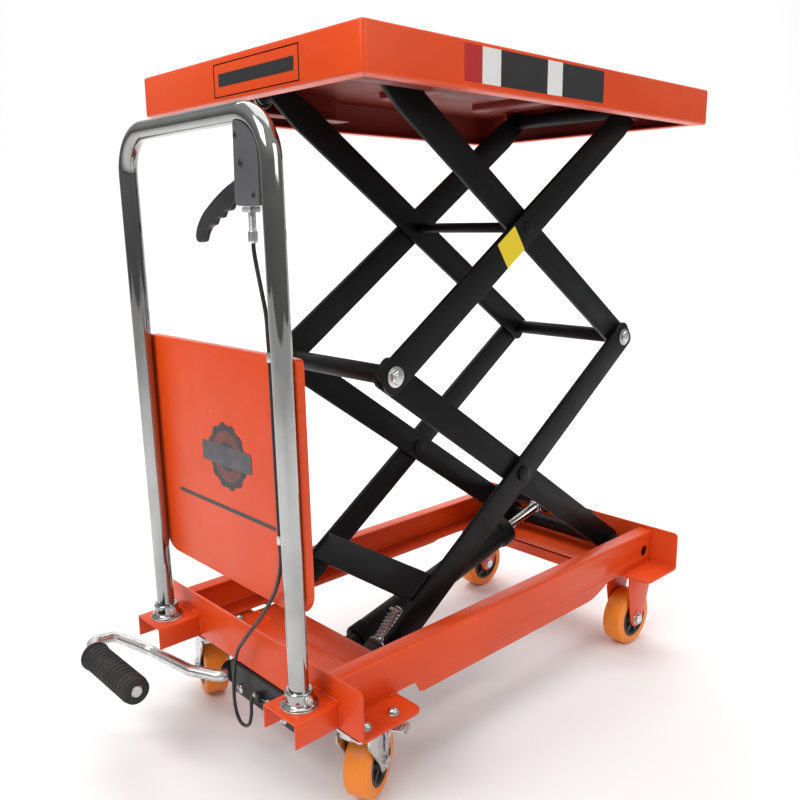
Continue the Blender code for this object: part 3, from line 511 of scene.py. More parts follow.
def merged(meshes):
    bm = bmesh.new()
    for mesh in meshes:
        bm.from_mesh(mesh)
    mesh = bpy.data.meshes.new("solid")
    bm.to_mesh(mesh)
    bm.free()
    return mesh


def placed(meshes, place):
    mesh = merged(meshes)
    mesh.transform(place)
    return mesh


def cut(mesh, cutters, way="DIFFERENCE", ease=0.0):
    """Exact Boolean, with the edges eased first when asked."""
    ob = bpy.data.objects.new("work", mesh)
    link(ob)
    helpers = []
    if ease:
        step = ob.modifiers.new("ease", "BEVEL")
        step.width = ease
        step.segments = 2
        step.limit_method = "ANGLE"
        step.angle_limit = radians(40)
    for other in cutters:
        tool = bpy.data.objects.new("tool", other)
        link(tool)
        helpers.append(tool)
        step = ob.modifiers.new("cut", "BOOLEAN")
        step.operation = way
        step.solver = "EXACT"
        step.object = tool
    graph = bpy.context.evaluated_depsgraph_get()
    out = bpy.data.meshes.new_from_object(ob.evaluated_get(graph), depsgraph=graph)
    for o in helpers + [ob]:
        bpy.data.objects.remove(o, do_unlink=True)
    return out


def put(name, mesh, mat, body, stands_for=(), ease=0.0, segments=2, sharp=38):
    """Names a finished piece, eases its edges, gives it its material and fixes it to its body."""
    if isinstance(mesh, (list, tuple)):
        mesh = merged(mesh)
    mesh.transform(Matrix.Translation(SHIFT))
    ob = bpy.data.objects.new(name, mesh)
    link(ob)
    if ease:
        step = ob.modifiers.new("ease", "BEVEL")
        step.width = ease
        step.segments = segments
        step.limit_method = "ANGLE"
        step.angle_limit = radians(38)
        step.harden_normals = False
        graph = bpy.context.evaluated_depsgraph_get()
        eased = bpy.data.meshes.new_from_object(ob.evaluated_get(graph), depsgraph=graph)
        ob.modifiers.clear()
        ob.data = eased
    mesh = ob.data
    mesh.materials.clear()
    mesh.materials.append(M[mat])
    mesh.shade_smooth()
    mesh.set_sharp_from_angle(angle=radians(sharp))
    mesh.name = name
    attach(ob, body)
    if stands_for:
        if isinstance(stands_for, str):
            stands_for = (stands_for,)
        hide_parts(*stands_for)
    return ob


def between(side, ends):
    a, b = ends
    return (a, b) if side > 0 else (-b, -a)


def word(side):
    return "left" if side > 0 else "right"


def rod(a, b, r, sides=32):
    a = Vector(a)
    length = (Vector(b) - a).length
    return turned(disc(r, 0, length), a, Vector(b) - a, sides)


def ripple(r):
    """A weld's radius with its ripples, as a function of the point's number."""
    return lambda i: r * (0.8 + 0.2 * abs(sin(i * pi / 3)))


def bead(points, r=0.0022, pitch=0.0022):
    """A weld bead with its ripples, along a polyline."""
    pts = [Vector(p) for p in points]
    path = []
    for a, b in zip(pts, pts[1:]):
        count = max(2, int((b - a).length / (pitch / 3)))
        path += [a.lerp(b, k / count) for k in range(count)]
    path.append(pts[-1])
    total = len(path)
    rippled = ripple(r)

    def size(i):
        end = min(1.0, (i + 0.6) / 5, (total - i - 0.4) / 5)
        return rippled(i) * (0.35 + 0.65 * end)
    return swept(path, size, 10)


# ---------------------------------------------------------------- platform
def platform():
    a = (DHI.x - DLO.x) / 2
    b = HALF_Y
    t = DECK_T

    def ring(inset, z, r=0.006):
        r = max(r - inset, 0.0008)
        return [(x, y, z) for x, y in rounded(-a + inset, a - inset, -b + inset, b - inset, r, 5)]

    # the skirt's section: distance in from the edge, and height
    profile = arc(0.004, TOP - 0.004, 0.004, 90, 180, 5)
    profile += arc(0.0035, LOW + 0.0035, 0.0035, 180, 270, 5)
    profile += [(0.0205, LOW), (0.0212, LOW + 0.0006), (0.0212, LOW + 0.0019), (0.0205, LOW + t),
        (0.0045, LOW + t), (0.0032, LOW + 0.0032), (t, LOW + 0.005), (t, UNDER - 0.003),
        (0.0032, UNDER - 0.0008), (0.006, UNDER)]
    tray = lofted([ring(i, z) for i, z in profile])
    notch = []
    for sx in (-1, 1):
        for sy in (-1, 1):
            notch.append(prism([
                (sx * (a - 0.0215), sy * (b - 0.0215)),
                (sx * (a - 0.0045), sy * (b - 0.0035)),
                (sx * (a - 0.0035), sy * (b - 0.0045)),
            ], "Z", (LOW - 0.001, LOW + 0.004)))
    put("platform_tray", cut(tray, notch), "orange", "platform", "deck", sharp=30)
    # a dark sheet lining the tray's underside; its colour is painted shade
    shade_liner = []
    for inset, z in ((0.006, UNDER - 0.0002), (0.0034, UNDER - 0.001), (0.0026, UNDER - 0.003),
        (0.0026, LOW + 0.006), (0.003, LOW + 0.006), (0.003, UNDER - 0.0032), (0.0038, UNDER - 0.0014),
        (0.0062, UNDER - 0.0006)):
        shade_liner.append(ring(inset, z))
    put("platform_underside_painted_shade", lofted(shade_liner), "shade", "platform", sharp=30)
    parts = []
    for side in (-1, 1):
        prof = [(0.189, UNDER), (0.189, 0.9196), (0.1884, 0.9176), (0.187, 0.9167), (0.185, 0.9166),
            (0.152, 0.9166), (0.152, 0.9196), (0.185, 0.9196), (0.1858, 0.92), (0.186, 0.921),
            (0.186, UNDER)]
        parts.append(prism([(side * y, z) for y, z in prof], "X", (-0.358, -0.058)))
        for x in (-0.345, -0.25, -0.15, -0.075):
            parts.append(bead([(x, side * 0.19, UNDER - 0.001), (x + 0.022, side * 0.19, UNDER - 0.001)],
                0.0024))
    put("top_guides", parts, "shade", "platform", ease=0.0006)
    ribs = []
    for x in (-0.02, 0.2):
        prof = [(x - 0.016, UNDER + 0.0002), (x - 0.014, UNDER - 0.01), (x - 0.01, UNDER - 0.012),
            (x + 0.01, UNDER - 0.012), (x + 0.014, UNDER - 0.01), (x + 0.016, UNDER + 0.0002)]
        ribs.append(prism(prof, "Y", (-0.106, 0.106)))
    for side in (-1, 1):
        cheek = [(HINGE.x - 0.03, UNDER - 0.0004), (HINGE.x - 0.017, 0.929)]
        cheek += arc(HINGE.x, TOP_PIN.z, 0.0185, 212.4, 327.6, 8)
        cheek += [(HINGE.x + 0.017, 0.929), (HINGE.x + 0.03, UNDER - 0.0004)]
        put("platform_cheek_" + word(side), prism(cheek, "Y", between(side, (0.1278, 0.1325))), "shade",
            "platform", "deck_bracket_" + word(side), ease=0.0007)
        ribs.append(bead([(HINGE.x - 0.029, side * 0.1335, UNDER - 0.001),
            (HINGE.x + 0.029, side * 0.1335, UNDER - 0.001)], 0.0026))
    put("platform_ribs", ribs, "shade", "platform", ease=0.0005)
    half = [(0, 0.134), (0.007, 0.134), (0.008, 0.133), (0.008, 0.1187), (0.0125, 0.1187)]
    tube = both_ways(half)
    put("platform_tube", lathe(tube, TOP_PIN, (0, 1, 0)), "black", "platform", "deck_pivot_shaft")
    for side in (-1, 1):
        put("platform_nut_" + word(side), [hexagon(TOP_PIN, (0, side, 0), 0.0185, (0.134, 0.1372)),
            lathe(disc(0.0112, 0.1326, 0.1342), TOP_PIN, (0, side, 0))], "zinc", "platform")


# ---------------------------------------------------------------- base frame
FLAT_LOW = 0.1385                        # the cross angles' flat legs
FLAT_TOP = 0.1425
FLAT_T = 0.004
ANGLE_TOP = 0.207
RAIL_ENDS = (-0.3857, 0.3557)


def rails():
    x0, x1 = RAIL_ENDS
    for side in (-1, 1):
        prof = arc(0.186, 0.198, 0.004, 90, 0, 5)
        prof += [(0.19, 0.152), (0.1896, 0.1505), (0.1887, 0.1492), (0.1885, 0.1478), (0.1858, 0.1478),
            (0.1866, 0.1495), (0.187, 0.1515), (0.187, 0.198), (0.1866, 0.1986), (0.186, 0.199),
            (0.165, 0.199), (0.165, 0.202)]
        upper = prism([(side * y, z) for y, z in prof], "X", (x0, x1))
        hole = rod((HINGE.x, side * 0.17, HINGE.z), (HINGE.x, side * 0.21, HINGE.z), 0.0101, 40)
        upper = cut(upper, [hole])
        low = 0.1428
        strip = [(x0, low), (-0.256, low), (-0.251, 0.142), (-0.247, 0.14), (-0.2405, 0.1268),
            (-0.237, 0.1248), (-0.233, 0.124), (0.16, 0.124), (0.17, 0.1246), (0.182, 0.1272),
            (0.208, 0.1372), (0.216, 0.1408), (0.225, 0.1424), (0.235, low), (x1, low), (x1, 0.1485),
            (x0, 0.1485)]
        strip = prism(strip, "Y", between(side, (0.1856, 0.1885)))
        track = block((x0, x1), between(side, (0.15, 0.1872)), (0.147, 0.15))
        stop = block((-0.058, -0.052), between(side, (0.155, 0.1868)), (0.1495, 0.176))
        put("side_rail_" + word(side), [upper, strip], "orange", "base", "rail_" + word(side), ease=0.0005)
        # the track and its stop take the darker orange, which is painted shade
        put("roller_track_" + word(side), [track, stop], "orange_shaded", "base", ease=0.0007)
        beads = [bead([(x0 + 0.0008, side * 0.188, 0.145), (x0 + 0.0008, side * 0.188, 0.198)], 0.0022),
            bead([(x1 - 0.0008, side * 0.188, 0.145), (x1 - 0.0008, side * 0.188, 0.198)], 0.0022)]
        for a in (-0.372, -0.3, 0.275, 0.335):
            beads.append(bead([(a, side * 0.1895, 0.1436), (a + 0.016, side * 0.1895, 0.1436)], 0.0018))
        put("rail_welds_" + word(side), beads, "orange", "base")


def folded_angle(name, node, x_out, x_in, toward, lip=False):
    """A cross angle: upright leg at the outside, flat leg toward the middle, one bend between."""
    r = 0.0055
    low = FLAT_LOW
    t = FLAT_T
    d = toward
    prof = [(x_out, ANGLE_TOP), (x_out, low + r)]
    for k in range(1, 7):
        turn = 0.5 * pi * k / 6
        prof.append((x_out + d * (r - r * cos(turn)), low + r - r * sin(turn)))
    prof += [(x_in, low), (x_in, low + t), (x_out + d * (t + 0.0012), low + t),
        (x_out + d * (t + 0.0003), low + t + 0.0004), (x_out + d * t, low + t + 0.0013),
        (x_out + d * t, ANGLE_TOP)]
    body = prism(prof, "Y", (-0.24, 0.24))
    ear = 0.013
    a, b = sorted((x_out, x_in))
    radii = (0.0005, ear, ear, 0.0005) if x_in > x_out else (ear, 0.0005, 0.0005, ear)
    plan = prism(rounded(a - (0.001 if x_in > x_out else 0), b + (0 if x_in > x_out else 0.001),
        -0.24, 0.24, radii), "Z", (0.1, 0.25))
    front = prism(rounded(-0.24, 0.24, 0.12, ANGLE_TOP, (0.0005, 0.0005, 0.008, 0.008)), "X",
        (-0.6, 0.6))
    body = cut(body, [plan, front], "INTERSECT")
    parts = [body]
    if lip:
        parts.append(block((x_in, x_in + 0.004), (-0.145, 0.145), (0.12, 0.1424)))
    return put(name, parts, "orange", "base", node, ease=0.0006)


# the mouth of the plunger's cup, and the way the plunger points
CUP = Vector((-0.205, -0.06, 0.131))
CUP_WAY = Vector((cos(radians(44)), 0, sin(radians(44))))


def frame_ends():
    folded_angle("front_angle", "front_cross_angle", -0.39, -0.285, 1)
    folded_angle("rear_angle", "rear_cross_angle", 0.36, 0.264, -1, True)
    plate = block((-0.2847, -0.234), (-0.149, 0.149), (FLAT_LOW, FLAT_TOP))
    x, z = FOOT_PIN.x, FOOT_PIN.z
    lug = [(-0.262, 0.139), (-0.236, 0.139), (-0.208, 0.118)]
    lug += arc(x, z, 0.0155, 18, -144, 7)
    lug += [(-0.244, 0.098), (-0.262, 0.126)]
    lugs = [prism(lug, "Y", between(s, (0.0262, 0.0322))) for s in (-1, 1)]
    arm = prism([(-0.25, 0.139), (-0.236, 0.139), (-0.196, 0.119), (-0.206, 0.106), (-0.222, 0.107),
        (-0.25, 0.125)], "Y", (-0.064, -0.056))
    arm = cut(arm, [rod(CUP - CUP_WAY * 0.045, CUP + CUP_WAY * 0.08, 0.016)])
    welds = [bead([(-0.2846, -0.146, 0.143), (-0.2846, -0.1, 0.143)], 0.0022),
        bead([(-0.2846, 0.1, 0.143), (-0.2846, 0.146, 0.143)], 0.0022)]
    # the pump plate takes the darker orange, which is painted shade
    put("pump_plate", [plate] + lugs + [arm], "orange_shaded", "base", "pump_base_plate", ease=0.0007)
    put("pump_plate_welds", welds, "orange", "base")
    foot = [lathe(disc(0.008, -0.0325, 0.0325), FOOT_PIN, (0, 1, 0))]
    foot += [lathe(disc(0.0115, 0.0324, 0.0336), FOOT_PIN, (0, s, 0)) for s in (-1, 1)]
    foot += [hexagon(FOOT_PIN, (0, s, 0), 0.0185, (0.0335, 0.0364)) for s in (-1, 1)]
    put("cylinder_foot_pin", foot, "zinc", "base")


def rear_wheels():
    for side in (-1, 1):
        name = "rear_wheel_" + word(side)
        c = middle(name + "_tyre")
        outline = [(0.27, 0.1382), (0.345, 0.1382), (0.345, 0.127), (0.3185, 0.048)]
        for k in range(9):
            turn = -pi * (0.06 + 0.88 * k / 8)
            outline.append((c.x + 0.0165 * cos(turn), WHEEL_R + 0.015 * sin(turn)))
        outline += [(0.2815, 0.048), (0.27, 0.105)]
        top = block((0.27, 0.345), (c.y - 0.0235, c.y + 0.0235), (0.1352, 0.1382))
        legs = [prism(outline, "Y", (c.y + s * 0.022 - 0.0015, c.y + s * 0.022 + 0.0015)) for s in (-1, 1)]
        back = block((0.3425, 0.345), (c.y - 0.022, c.y + 0.022), (0.118, 0.1375))
        put("rear_fork_body_" + word(side), [top, back] + legs, "orange", "base", "rear_fork_" + word(side),
            ease=0.0008)
        at = (c.x, c.y, WHEEL_R)
        bits = []
        for s in (-1, 1):
            bits.append(lathe(disc(0.0112, 0.0233, 0.0248), at, (0, s, 0)))
            bits.append(hexagon(at, (0, s, 0), 0.017, (0.0246, 0.0292)))
        put("rear_axle_" + word(side), bits, "zinc", "base")
        welds = [bead([(0.272, c.y + s * 0.0235, 0.1376), (0.343, c.y + s * 0.0235, 0.1376)], 0.002)
            for s in (-1, 1)]
        put("rear_fork_welds_" + word(side), welds, "orange", "base")
        wheel(name, Vector(at), Vector((0, 1, 0)), name)


def wheel(name, centre, axis, body):
    """Polyurethane tyre over a ribbed black core with a bearing and its seal."""
    h = 0.018
    prof = [(0.0343, -h)]
    prof += arc(0.044, 0.0052 - h, 0.0052, -90, 0, 8)
    for k in range(1, 12):
        t = -1 + 2 * k / 12
        prof.append((0.0492 + 0.0008 * (1 - t * t), t * (h - 0.0052)))
    prof += arc(0.044, h - 0.0052, 0.0052, 0, 90, 8)
    prof.append((0.0343, h))
    put(name + "_tread", turned(prof, centre, axis, 72), "tyre", body, name + "_tyre")
    f = h + 0.0008
    side = [(0.0064, f), (0.0125, f), (0.013, f - 0.0006), (0.0142, f - 0.0058), (0.0272, f - 0.0064),
        (0.0292, f - 0.0008), (0.03, f - 0.0002), (0.033, f - 0.0002), (0.0337, f - 0.001)]
    core = turned(softened(both_ways(side), 0.0006), centre, axis, 60)
    axis = axis.normalized()
    u, v = sideways(axis)
    ribs = []
    for s in (-1, 1):
        for k in range(6):
            turn = 2 * pi * (k + 0.25) / 6
            ray = spoke(u, v, turn, 1)
            across = axis.cross(ray)
            ring = []
            for reach, w, lift in ((0.0132, 0.0026, f - 0.001), (0.0205, 0.0019, f - 0.0024),
                (0.0288, 0.0022, f - 0.0012)):
                base = f - 0.0072
                edge = ((-w, base), (-w, lift - 0.0006), (-w + 0.0005, lift), (w - 0.0005, lift),
                    (w, lift - 0.0006), (w, base))
                ring.append([centre + ray * reach + across * a_ + axis * (s * b_) for a_, b_ in edge])
            ribs.append(lofted(ring))
    put(name + "_core", [core] + ribs, "hub", body, name + "_hub")
    seal = []
    for s in (-1, 1):
        seal.append(turned(softened([(0.0066, f - 0.001), (0.0066, f + 0.001), (0.0086, f + 0.001),
            (0.0092, f + 0.0002), (0.0104, f + 0.0002), (0.0104, f - 0.001)], 0.0003), centre, axis * s, 40))
    put(name + "_bearing", seal, "steel", body)


# ---------------------------------------------------------------- front casters
TRAIL = 0.03                             # from the swivel's axis to the axle


def casters():
    for side in (-1, 1):
        w = word(side)
        pivot = pin("caster_swivel_" + w)
        pivot.z = 0
        spin = JOINTS["front_wheel_spin_" + w]
        centre = pin("front_wheel_spin_" + w)
        heading = atan2(centre.y - pivot.y, centre.x - pivot.x)
        place = Matrix.Translation(pivot) @ Matrix.Rotation(heading, 4, "Z")

        plate = prism(rounded(-0.0455, 0.0455, -0.055, 0.055, 0.007), "Z", (0.1353, 0.1382))
        race = lathe([(0, 0.125), (0.0195, 0.125), (0.0225, 0.1272), (0.0232, 0.13), (0.0232, 0.1353),
            (0, 0.1353)], (0, 0, 0), (0, 0, 1), 48)
        stem = lathe(disc(0.006, 0.1085, 0.1255), (0, 0, 0), (0, 0, 1), 24, 0.0004)
        nut = hexagon((0, 0, 0), (0, 0, 1), 0.015, (0.105, 0.109))
        put("caster_top_" + w, placed([plate, race, stem, nut], Matrix.Translation(pivot)), "zinc", "base",
            "caster_plate_" + w, ease=0.0004)

        crown = turned(softened([(0.0064, 0.1098), (0.0268, 0.1098), (0.0285, 0.1112), (0.0285, 0.1175),
            (0.0262, 0.1212), (0.0228, 0.1238), (0.02, 0.1246), (0.0064, 0.1246)], 0.0007), (0, 0, 0),
            (0, 0, 1), 56)
        deck_ = prism(rounded(-0.024, 0.037, -0.0235, 0.0235, (0.012, 0.004, 0.004, 0.012)), "Z",
            (0.109, 0.112))
        deck_ = cut(deck_, [rod((0, 0, 0.1), (0, 0, 0.12), 0.0105)])
        leg = [(-0.023, 0.112), (-0.0235, 0.106), (-0.0215, 0.099), (-0.01, 0.085), (0.006, 0.064),
            (0.015, 0.052)]
        leg += arc(TRAIL, WHEEL_R, 0.0135, 183.6, 352.8, 8)
        leg += [(0.044, 0.056), (0.044, 0.088), (0.04, 0.102), (0.0365, 0.112)]
        legs = [prism(leg, "Y", between(s, (0.0212, 0.0235))) for s in (-1, 1)]
        flange = []
        for s in (-1, 1):
            rim = curve_points([(-0.0225, s * 0.0238, 0.103), (-0.012, s * 0.0238, 0.088),
                (0.006, s * 0.0238, 0.065), (0.015, s * 0.0238, 0.053)], 6)
            flange.append(swept(rim, 0.0011, 8))
        put("caster_frame_" + w, placed([crown, deck_] + legs, place), "zinc", "caster_" + w,
            "caster_fork_" + w, ease=0.0007)
        put("caster_rim_" + w, placed(flange, place), "zinc", "caster_" + w)
        bits = []
        axle = (TRAIL, 0, WHEEL_R)
        for s in (-1, 1):
            bits.append(lathe(disc(0.0096, 0.0233, 0.0246), axle, (0, s, 0)))
            bits.append(hexagon(axle, (0, s, 0), 0.0155, (0.0244, 0.0284)))
        if side < 0:
            bits.append(lathe([(0, 0.0233), (0.003, 0.0233), (0.003, 0.0268), (0.0058, 0.0268),
                (0.005, 0.0284), (0.0025, 0.0292), (0, 0.0294)], (0.036, 0, 0.088), (0, -1, 0)))
        put("caster_bolts_" + w, placed(bits, place), "zinc", "caster_" + w)
        wheel("front_wheel_" + w, centre, Vector(spin["axis"]), "front_wheel_" + w)

        if side < 0:
            blade = [(0.0262, 0.072), (0.0285, 0.0655), (0.0345, 0.0635), (0.0405, 0.066), (0.0445, 0.082),
                (0.0515, 0.0985), (0.052, 0.104), (0.024, 0.104), (0.0242, 0.0985), (0.0278, 0.088)]
            side_plate = prism(blade, "Y", (-0.0265, -0.0243))
            rows = []
            for k in range(9):
                t = k / 8
                y = -0.0255 - 0.0285 * t
                z = 0.104 - 0.001 * sin(pi * t) - (0.006 * max(0.0, (t - 0.72) / 0.28) ** 2)
                inset = 0.0035 * t * t
                rows.append([(0.024 + inset, y, z - 0.0024), (0.052 - inset, y, z - 0.0024),
                    (0.052 - inset, y, z), (0.024 + inset, y, z)])
            tab = lofted(rows)
            grips = [swept([(0.0275, -0.032 - 0.0045 * k, 0.1038), (0.0485, -0.032 - 0.0045 * k, 0.1038)],
                0.0009, 8) for k in range(4)]
            put("brake_lever", placed([side_plate, tab] + grips, place), "zinc", "brake", "brake_pedal",
                ease=0.0005)

    bolts = []
    washers = []
    for side in (-1, 1):
        for x in (-0.367, -0.32):
            for y in (0.14, 0.22):
                at = (x, side * y, 0)
                washers.append(lathe(disc(0.0088, 0.1424, 0.1437), at, (0, 0, 1)))
                bolts.append(hexagon(at, (0, 0, 1), 0.0132, (0.1436, 0.1476), 0.003, random.random()))
                bolts.append(hexagon(at, (0, 0, -1), 0.0132, (-0.1353, -0.1318), 0, random.random()))
    put("caster_nuts", bolts, "zinc", "base")
    put("caster_washers", washers, "zinc", "base")


# ---------------------------------------------------------------- scissor arms
def bar_outline(p, q, width, over_p, over_q, slim=False):
    p = Vector((p.x, p.z))
    q = Vector((q.x, q.z))
    along = (q - p).normalized()
    across = Vector((-along.y, along.x))
    half = width / 2
    length = (q - p).length
    blunt = [(half, -0.45), (half * 0.975, -0.62), (half * 0.86, -0.81), (half * 0.66, -0.94),
        (half * 0.4, -1.0)]
    outline = [(-over_p + half * (1 + reach), -out) for out, reach in reversed(blunt)]
    if slim:
        far = [(-0.046, half), (-0.004, 0.0172), (0.004, 0.0166), (0.009, 0.0146), (0.0135, 0.0108),
            (0.0155, 0.006)]
    else:
        far = [(over_q - half * (1 + reach), out) for out, reach in blunt]
    outline += [(length + s, -h) for s, h in far]
    outline += [(length + s, h) for s, h in reversed(far)]
    outline += [(-over_p + half * (1 + reach), out) for out, reach in blunt]
    return [tuple(p + along * s + across * h) for s, h in outline]


# near and far face of the inner and the outer arms, from the middle
INNER = (0.11, 0.118)
OUTER = (0.119, 0.127)


def joint_set(name, at, side, body, start, width=0.0205, bolt=True, washer_r=0.0145):
    """Washer, nut and bolt end outside an arm."""
    parts = [lathe(disc(washer_r, start, start + 0.0017), at, (0, side, 0), 40, 0.0004),
        hexagon(at, (0, side, 0), width, (start + 0.0016, start + 0.0058), 0, 0.5)]
    if bolt:
        parts.append(lathe([(0, start + 0.004), (width * 0.29, start + 0.004),
            (width * 0.29, start + 0.0068), (width * 0.22, start + 0.0076), (0, start + 0.0076)], at,
            (0, side, 0), 28, 0.0003))
    put(name, parts, "zinc", body)


def stub(side, at, start):
    prof = [(0, start), (0.012, start), (0.012, 0.152), (0.0065, 0.152), (0.0065, 0.1805), (0, 0.1805)]
    return lathe(prof, at, (0, side, 0), 36)


def arms():
    for side in (-1, 1):
        w = word(side)
        mesh = prism(bar_outline(HINGE, NEAR_MID, 0.045, 0.0172, 0.02), "Y", between(side, INNER))
        put("arm_lower_inner_" + w, mesh, "black", "lower_inner", "lower_inner_arm_" + w, ease=0.0011,
            segments=3)
        pin_ = [lathe([(0, 0.1066), (0.0125, 0.1066), (0.013, 0.1075), (0.013, 0.1101), (0, 0.1101)],
            LOW_X, (0, side, 0)), lathe(disc(0.0094, 0.1175, 0.129), LOW_X, (0, side, 0))]
        put("pin_lower_" + w, pin_, "black", "lower_inner")
        put("boss_lower_" + w, lathe([(0, 0.1272), (0.0125, 0.1272), (0.0125, 0.13), (0.0105, 0.1318),
            (0.006, 0.1326), (0, 0.1327)], LOW_X, (0, side, 0), 40, 0.0005), "black", "lower_inner")

        mesh = prism(bar_outline(LOW_ROLL, FAR_MID, 0.046, 0.0172, 0.021), "Y", between(side, OUTER))
        put("arm_lower_outer_" + w, mesh, "black", "lower_outer", "lower_outer_arm_" + w, ease=0.0011,
            segments=3)
        put("roller_pin_low_" + w, stub(side, LOW_ROLL, 0.1265), "black", "lower_outer")

        mesh = prism(bar_outline(NEAR_MID, TOP_PIN, 0.046, 0.021, 0.0155, True), "Y", between(side, OUTER))
        put("arm_upper_outer_" + w, mesh, "black", "upper_outer", "upper_outer_arm_" + w, ease=0.0011,
            segments=3)

        mesh = prism(bar_outline(FAR_MID, TOP_ROLL, 0.045, 0.02, 0.0155, True), "Y", between(side, INNER))
        put("arm_upper_inner_" + w, mesh, "black", "upper_inner", "upper_inner_arm_" + w, ease=0.0011,
            segments=3)
        put("roller_pin_top_" + w, stub(side, TOP_ROLL, 0.1175), "black", "upper_inner")

        joint_set("nut_near_mid_" + w, NEAR_MID, side, "lower_inner", 0.1272, 0.019)
        joint_set("nut_far_mid_" + w, FAR_MID, side, "upper_inner", 0.1272, 0.019)
        put("boss_upper_" + w, lathe([(0, 0.1268), (0.0088, 0.1268), (0.0084, 0.1282), (0.005, 0.129),
            (0, 0.1291)], UP_X, (0, side, 0), 40, 0.0005), "black", "upper_outer")

        for at, body, radius in ((LOW_ROLL, "lower_outer", 0.0177), (TOP_ROLL, "upper_inner", 0.0182)):
            name = ("low" if at is LOW_ROLL else "top") + "_roller_" + w
            node = ("lower" if at is LOW_ROLL else "upper") + "_roller_" + w
            prof = [(0.0069, 0.1523), (0.011, 0.1523), (0.0114, 0.1532), (0.0146, 0.1532), (0.015, 0.1523),
                (radius - 0.0012, 0.1523), (radius, 0.1535), (radius, 0.1785), (radius - 0.0012, 0.1797),
                (0.015, 0.1797), (0.0146, 0.1788), (0.0114, 0.1788), (0.011, 0.1797), (0.0069, 0.1797)]
            put("wheel_" + name, turned(softened(prof, 0.0004), at, (0, side, 0), 56), "steel", name, node)
            ring_ = disc(0.0105, 0.1799, 0.1812)
            put("keeper_" + name, [lathe(ring_, at, (0, side, 0), 36, 0.0003),
                lathe([(0, 0.1805), (0.0062, 0.1805), (0.0062, 0.1826), (0.0052, 0.1834), (0, 0.1834)], at,
                (0, side, 0), 28, 0.0003)], "zinc", body)

    def cross(name, at, r, body, node, end=0.1097):
        half = [(0, end + 0.0165), (0.0079, end + 0.0165), (0.0079, end), (r, end)]
        mesh = lathe(both_ways(half), at, (0, 1, 0), 44)
        put(name, mesh, "black", body, node)

    cross("tube_near_mid", NEAR_MID, 0.0135, "lower_inner", "middle_front_shaft")
    cross("tube_far_mid", FAR_MID, 0.0125, "upper_inner", "middle_rear_shaft")
    cross("rod_upper", UP_X, 0.008, "upper_outer", "upper_crossing_shaft", 0.1097)
    for at, r, body, name in ((NEAR_MID, 0.0135, "lower_inner", "near"),
        (FAR_MID, 0.0125, "upper_inner", "far")):
        rings = []
        for s in (-1, 1):
            hoop = arc(at.x, at.z, r + 0.0006, 0, 360, 60)[:-1]
            rings.append(swept([(x, s * 0.109, z) for x, z in hoop], ripple(0.0019), 8, loop=True))
        put("weld_" + name, rings, "black", body)

    half = [(0, 0.1875), (0.009, 0.1875), (0.0097, 0.1868), (0.0097, 0.1867), (0.014, 0.1865),
        (0.014, 0.1184), (0.0097, 0.1184), (0.0097, 0.1096), (0.0135, 0.1096)]
    put("hinge_shaft", lathe(both_ways(half), HINGE, (0, 1, 0), 44, 0.0005), "black", "base",
        "base_pivot_shaft")

    along = Vector((cos(SLOPE), 0, sin(SLOPE)))
    over = Vector((-sin(SLOPE), 0, cos(SLOPE)))
    rows = []
    section = ((0.056, 0.0195), (0.107, 0.0195), (0.107, 0.0245), (0.056, 0.0245))
    for y in (-0.1187, 0.1187):
        rows.append([LOW_ROLL + along * a + over * b + Vector((0, y, 0)) for a, b in section])
    put("cross_plate", lofted(rows), "black", "lower_outer", "lower_cross_plate", ease=0.001, segments=3)
    welds = []
    for s in (-1, 1):
        for b in (0.025, 0.019):
            welds.append(bead([LOW_ROLL + along * 0.059 + over * b + Vector((0, s * 0.118, 0)),
                LOW_ROLL + along * 0.104 + over * b + Vector((0, s * 0.118, 0))], 0.0021))
    put("cross_plate_welds", welds, "black", "lower_outer")

    half = [(0, 0.1097), (0.012, 0.1097), (0.012, 0.02), (0.0155, 0.02), (0.0155, 0.0128), (0.0105, 0.0128)]
    put("lift_bar", lathe(both_ways(half), ROD_PIN, (0, 1, 0), 40), "black", "lower_inner", "lift_bracket")


# ---------------------------------------------------------------- hydraulics
PEDAL_AXLE = (-0.38, 0, 0.108)           # the pump's stem that the pedal turns on
HOSE_START = (-0.333, -0.04, 0.11)       # on the pump body


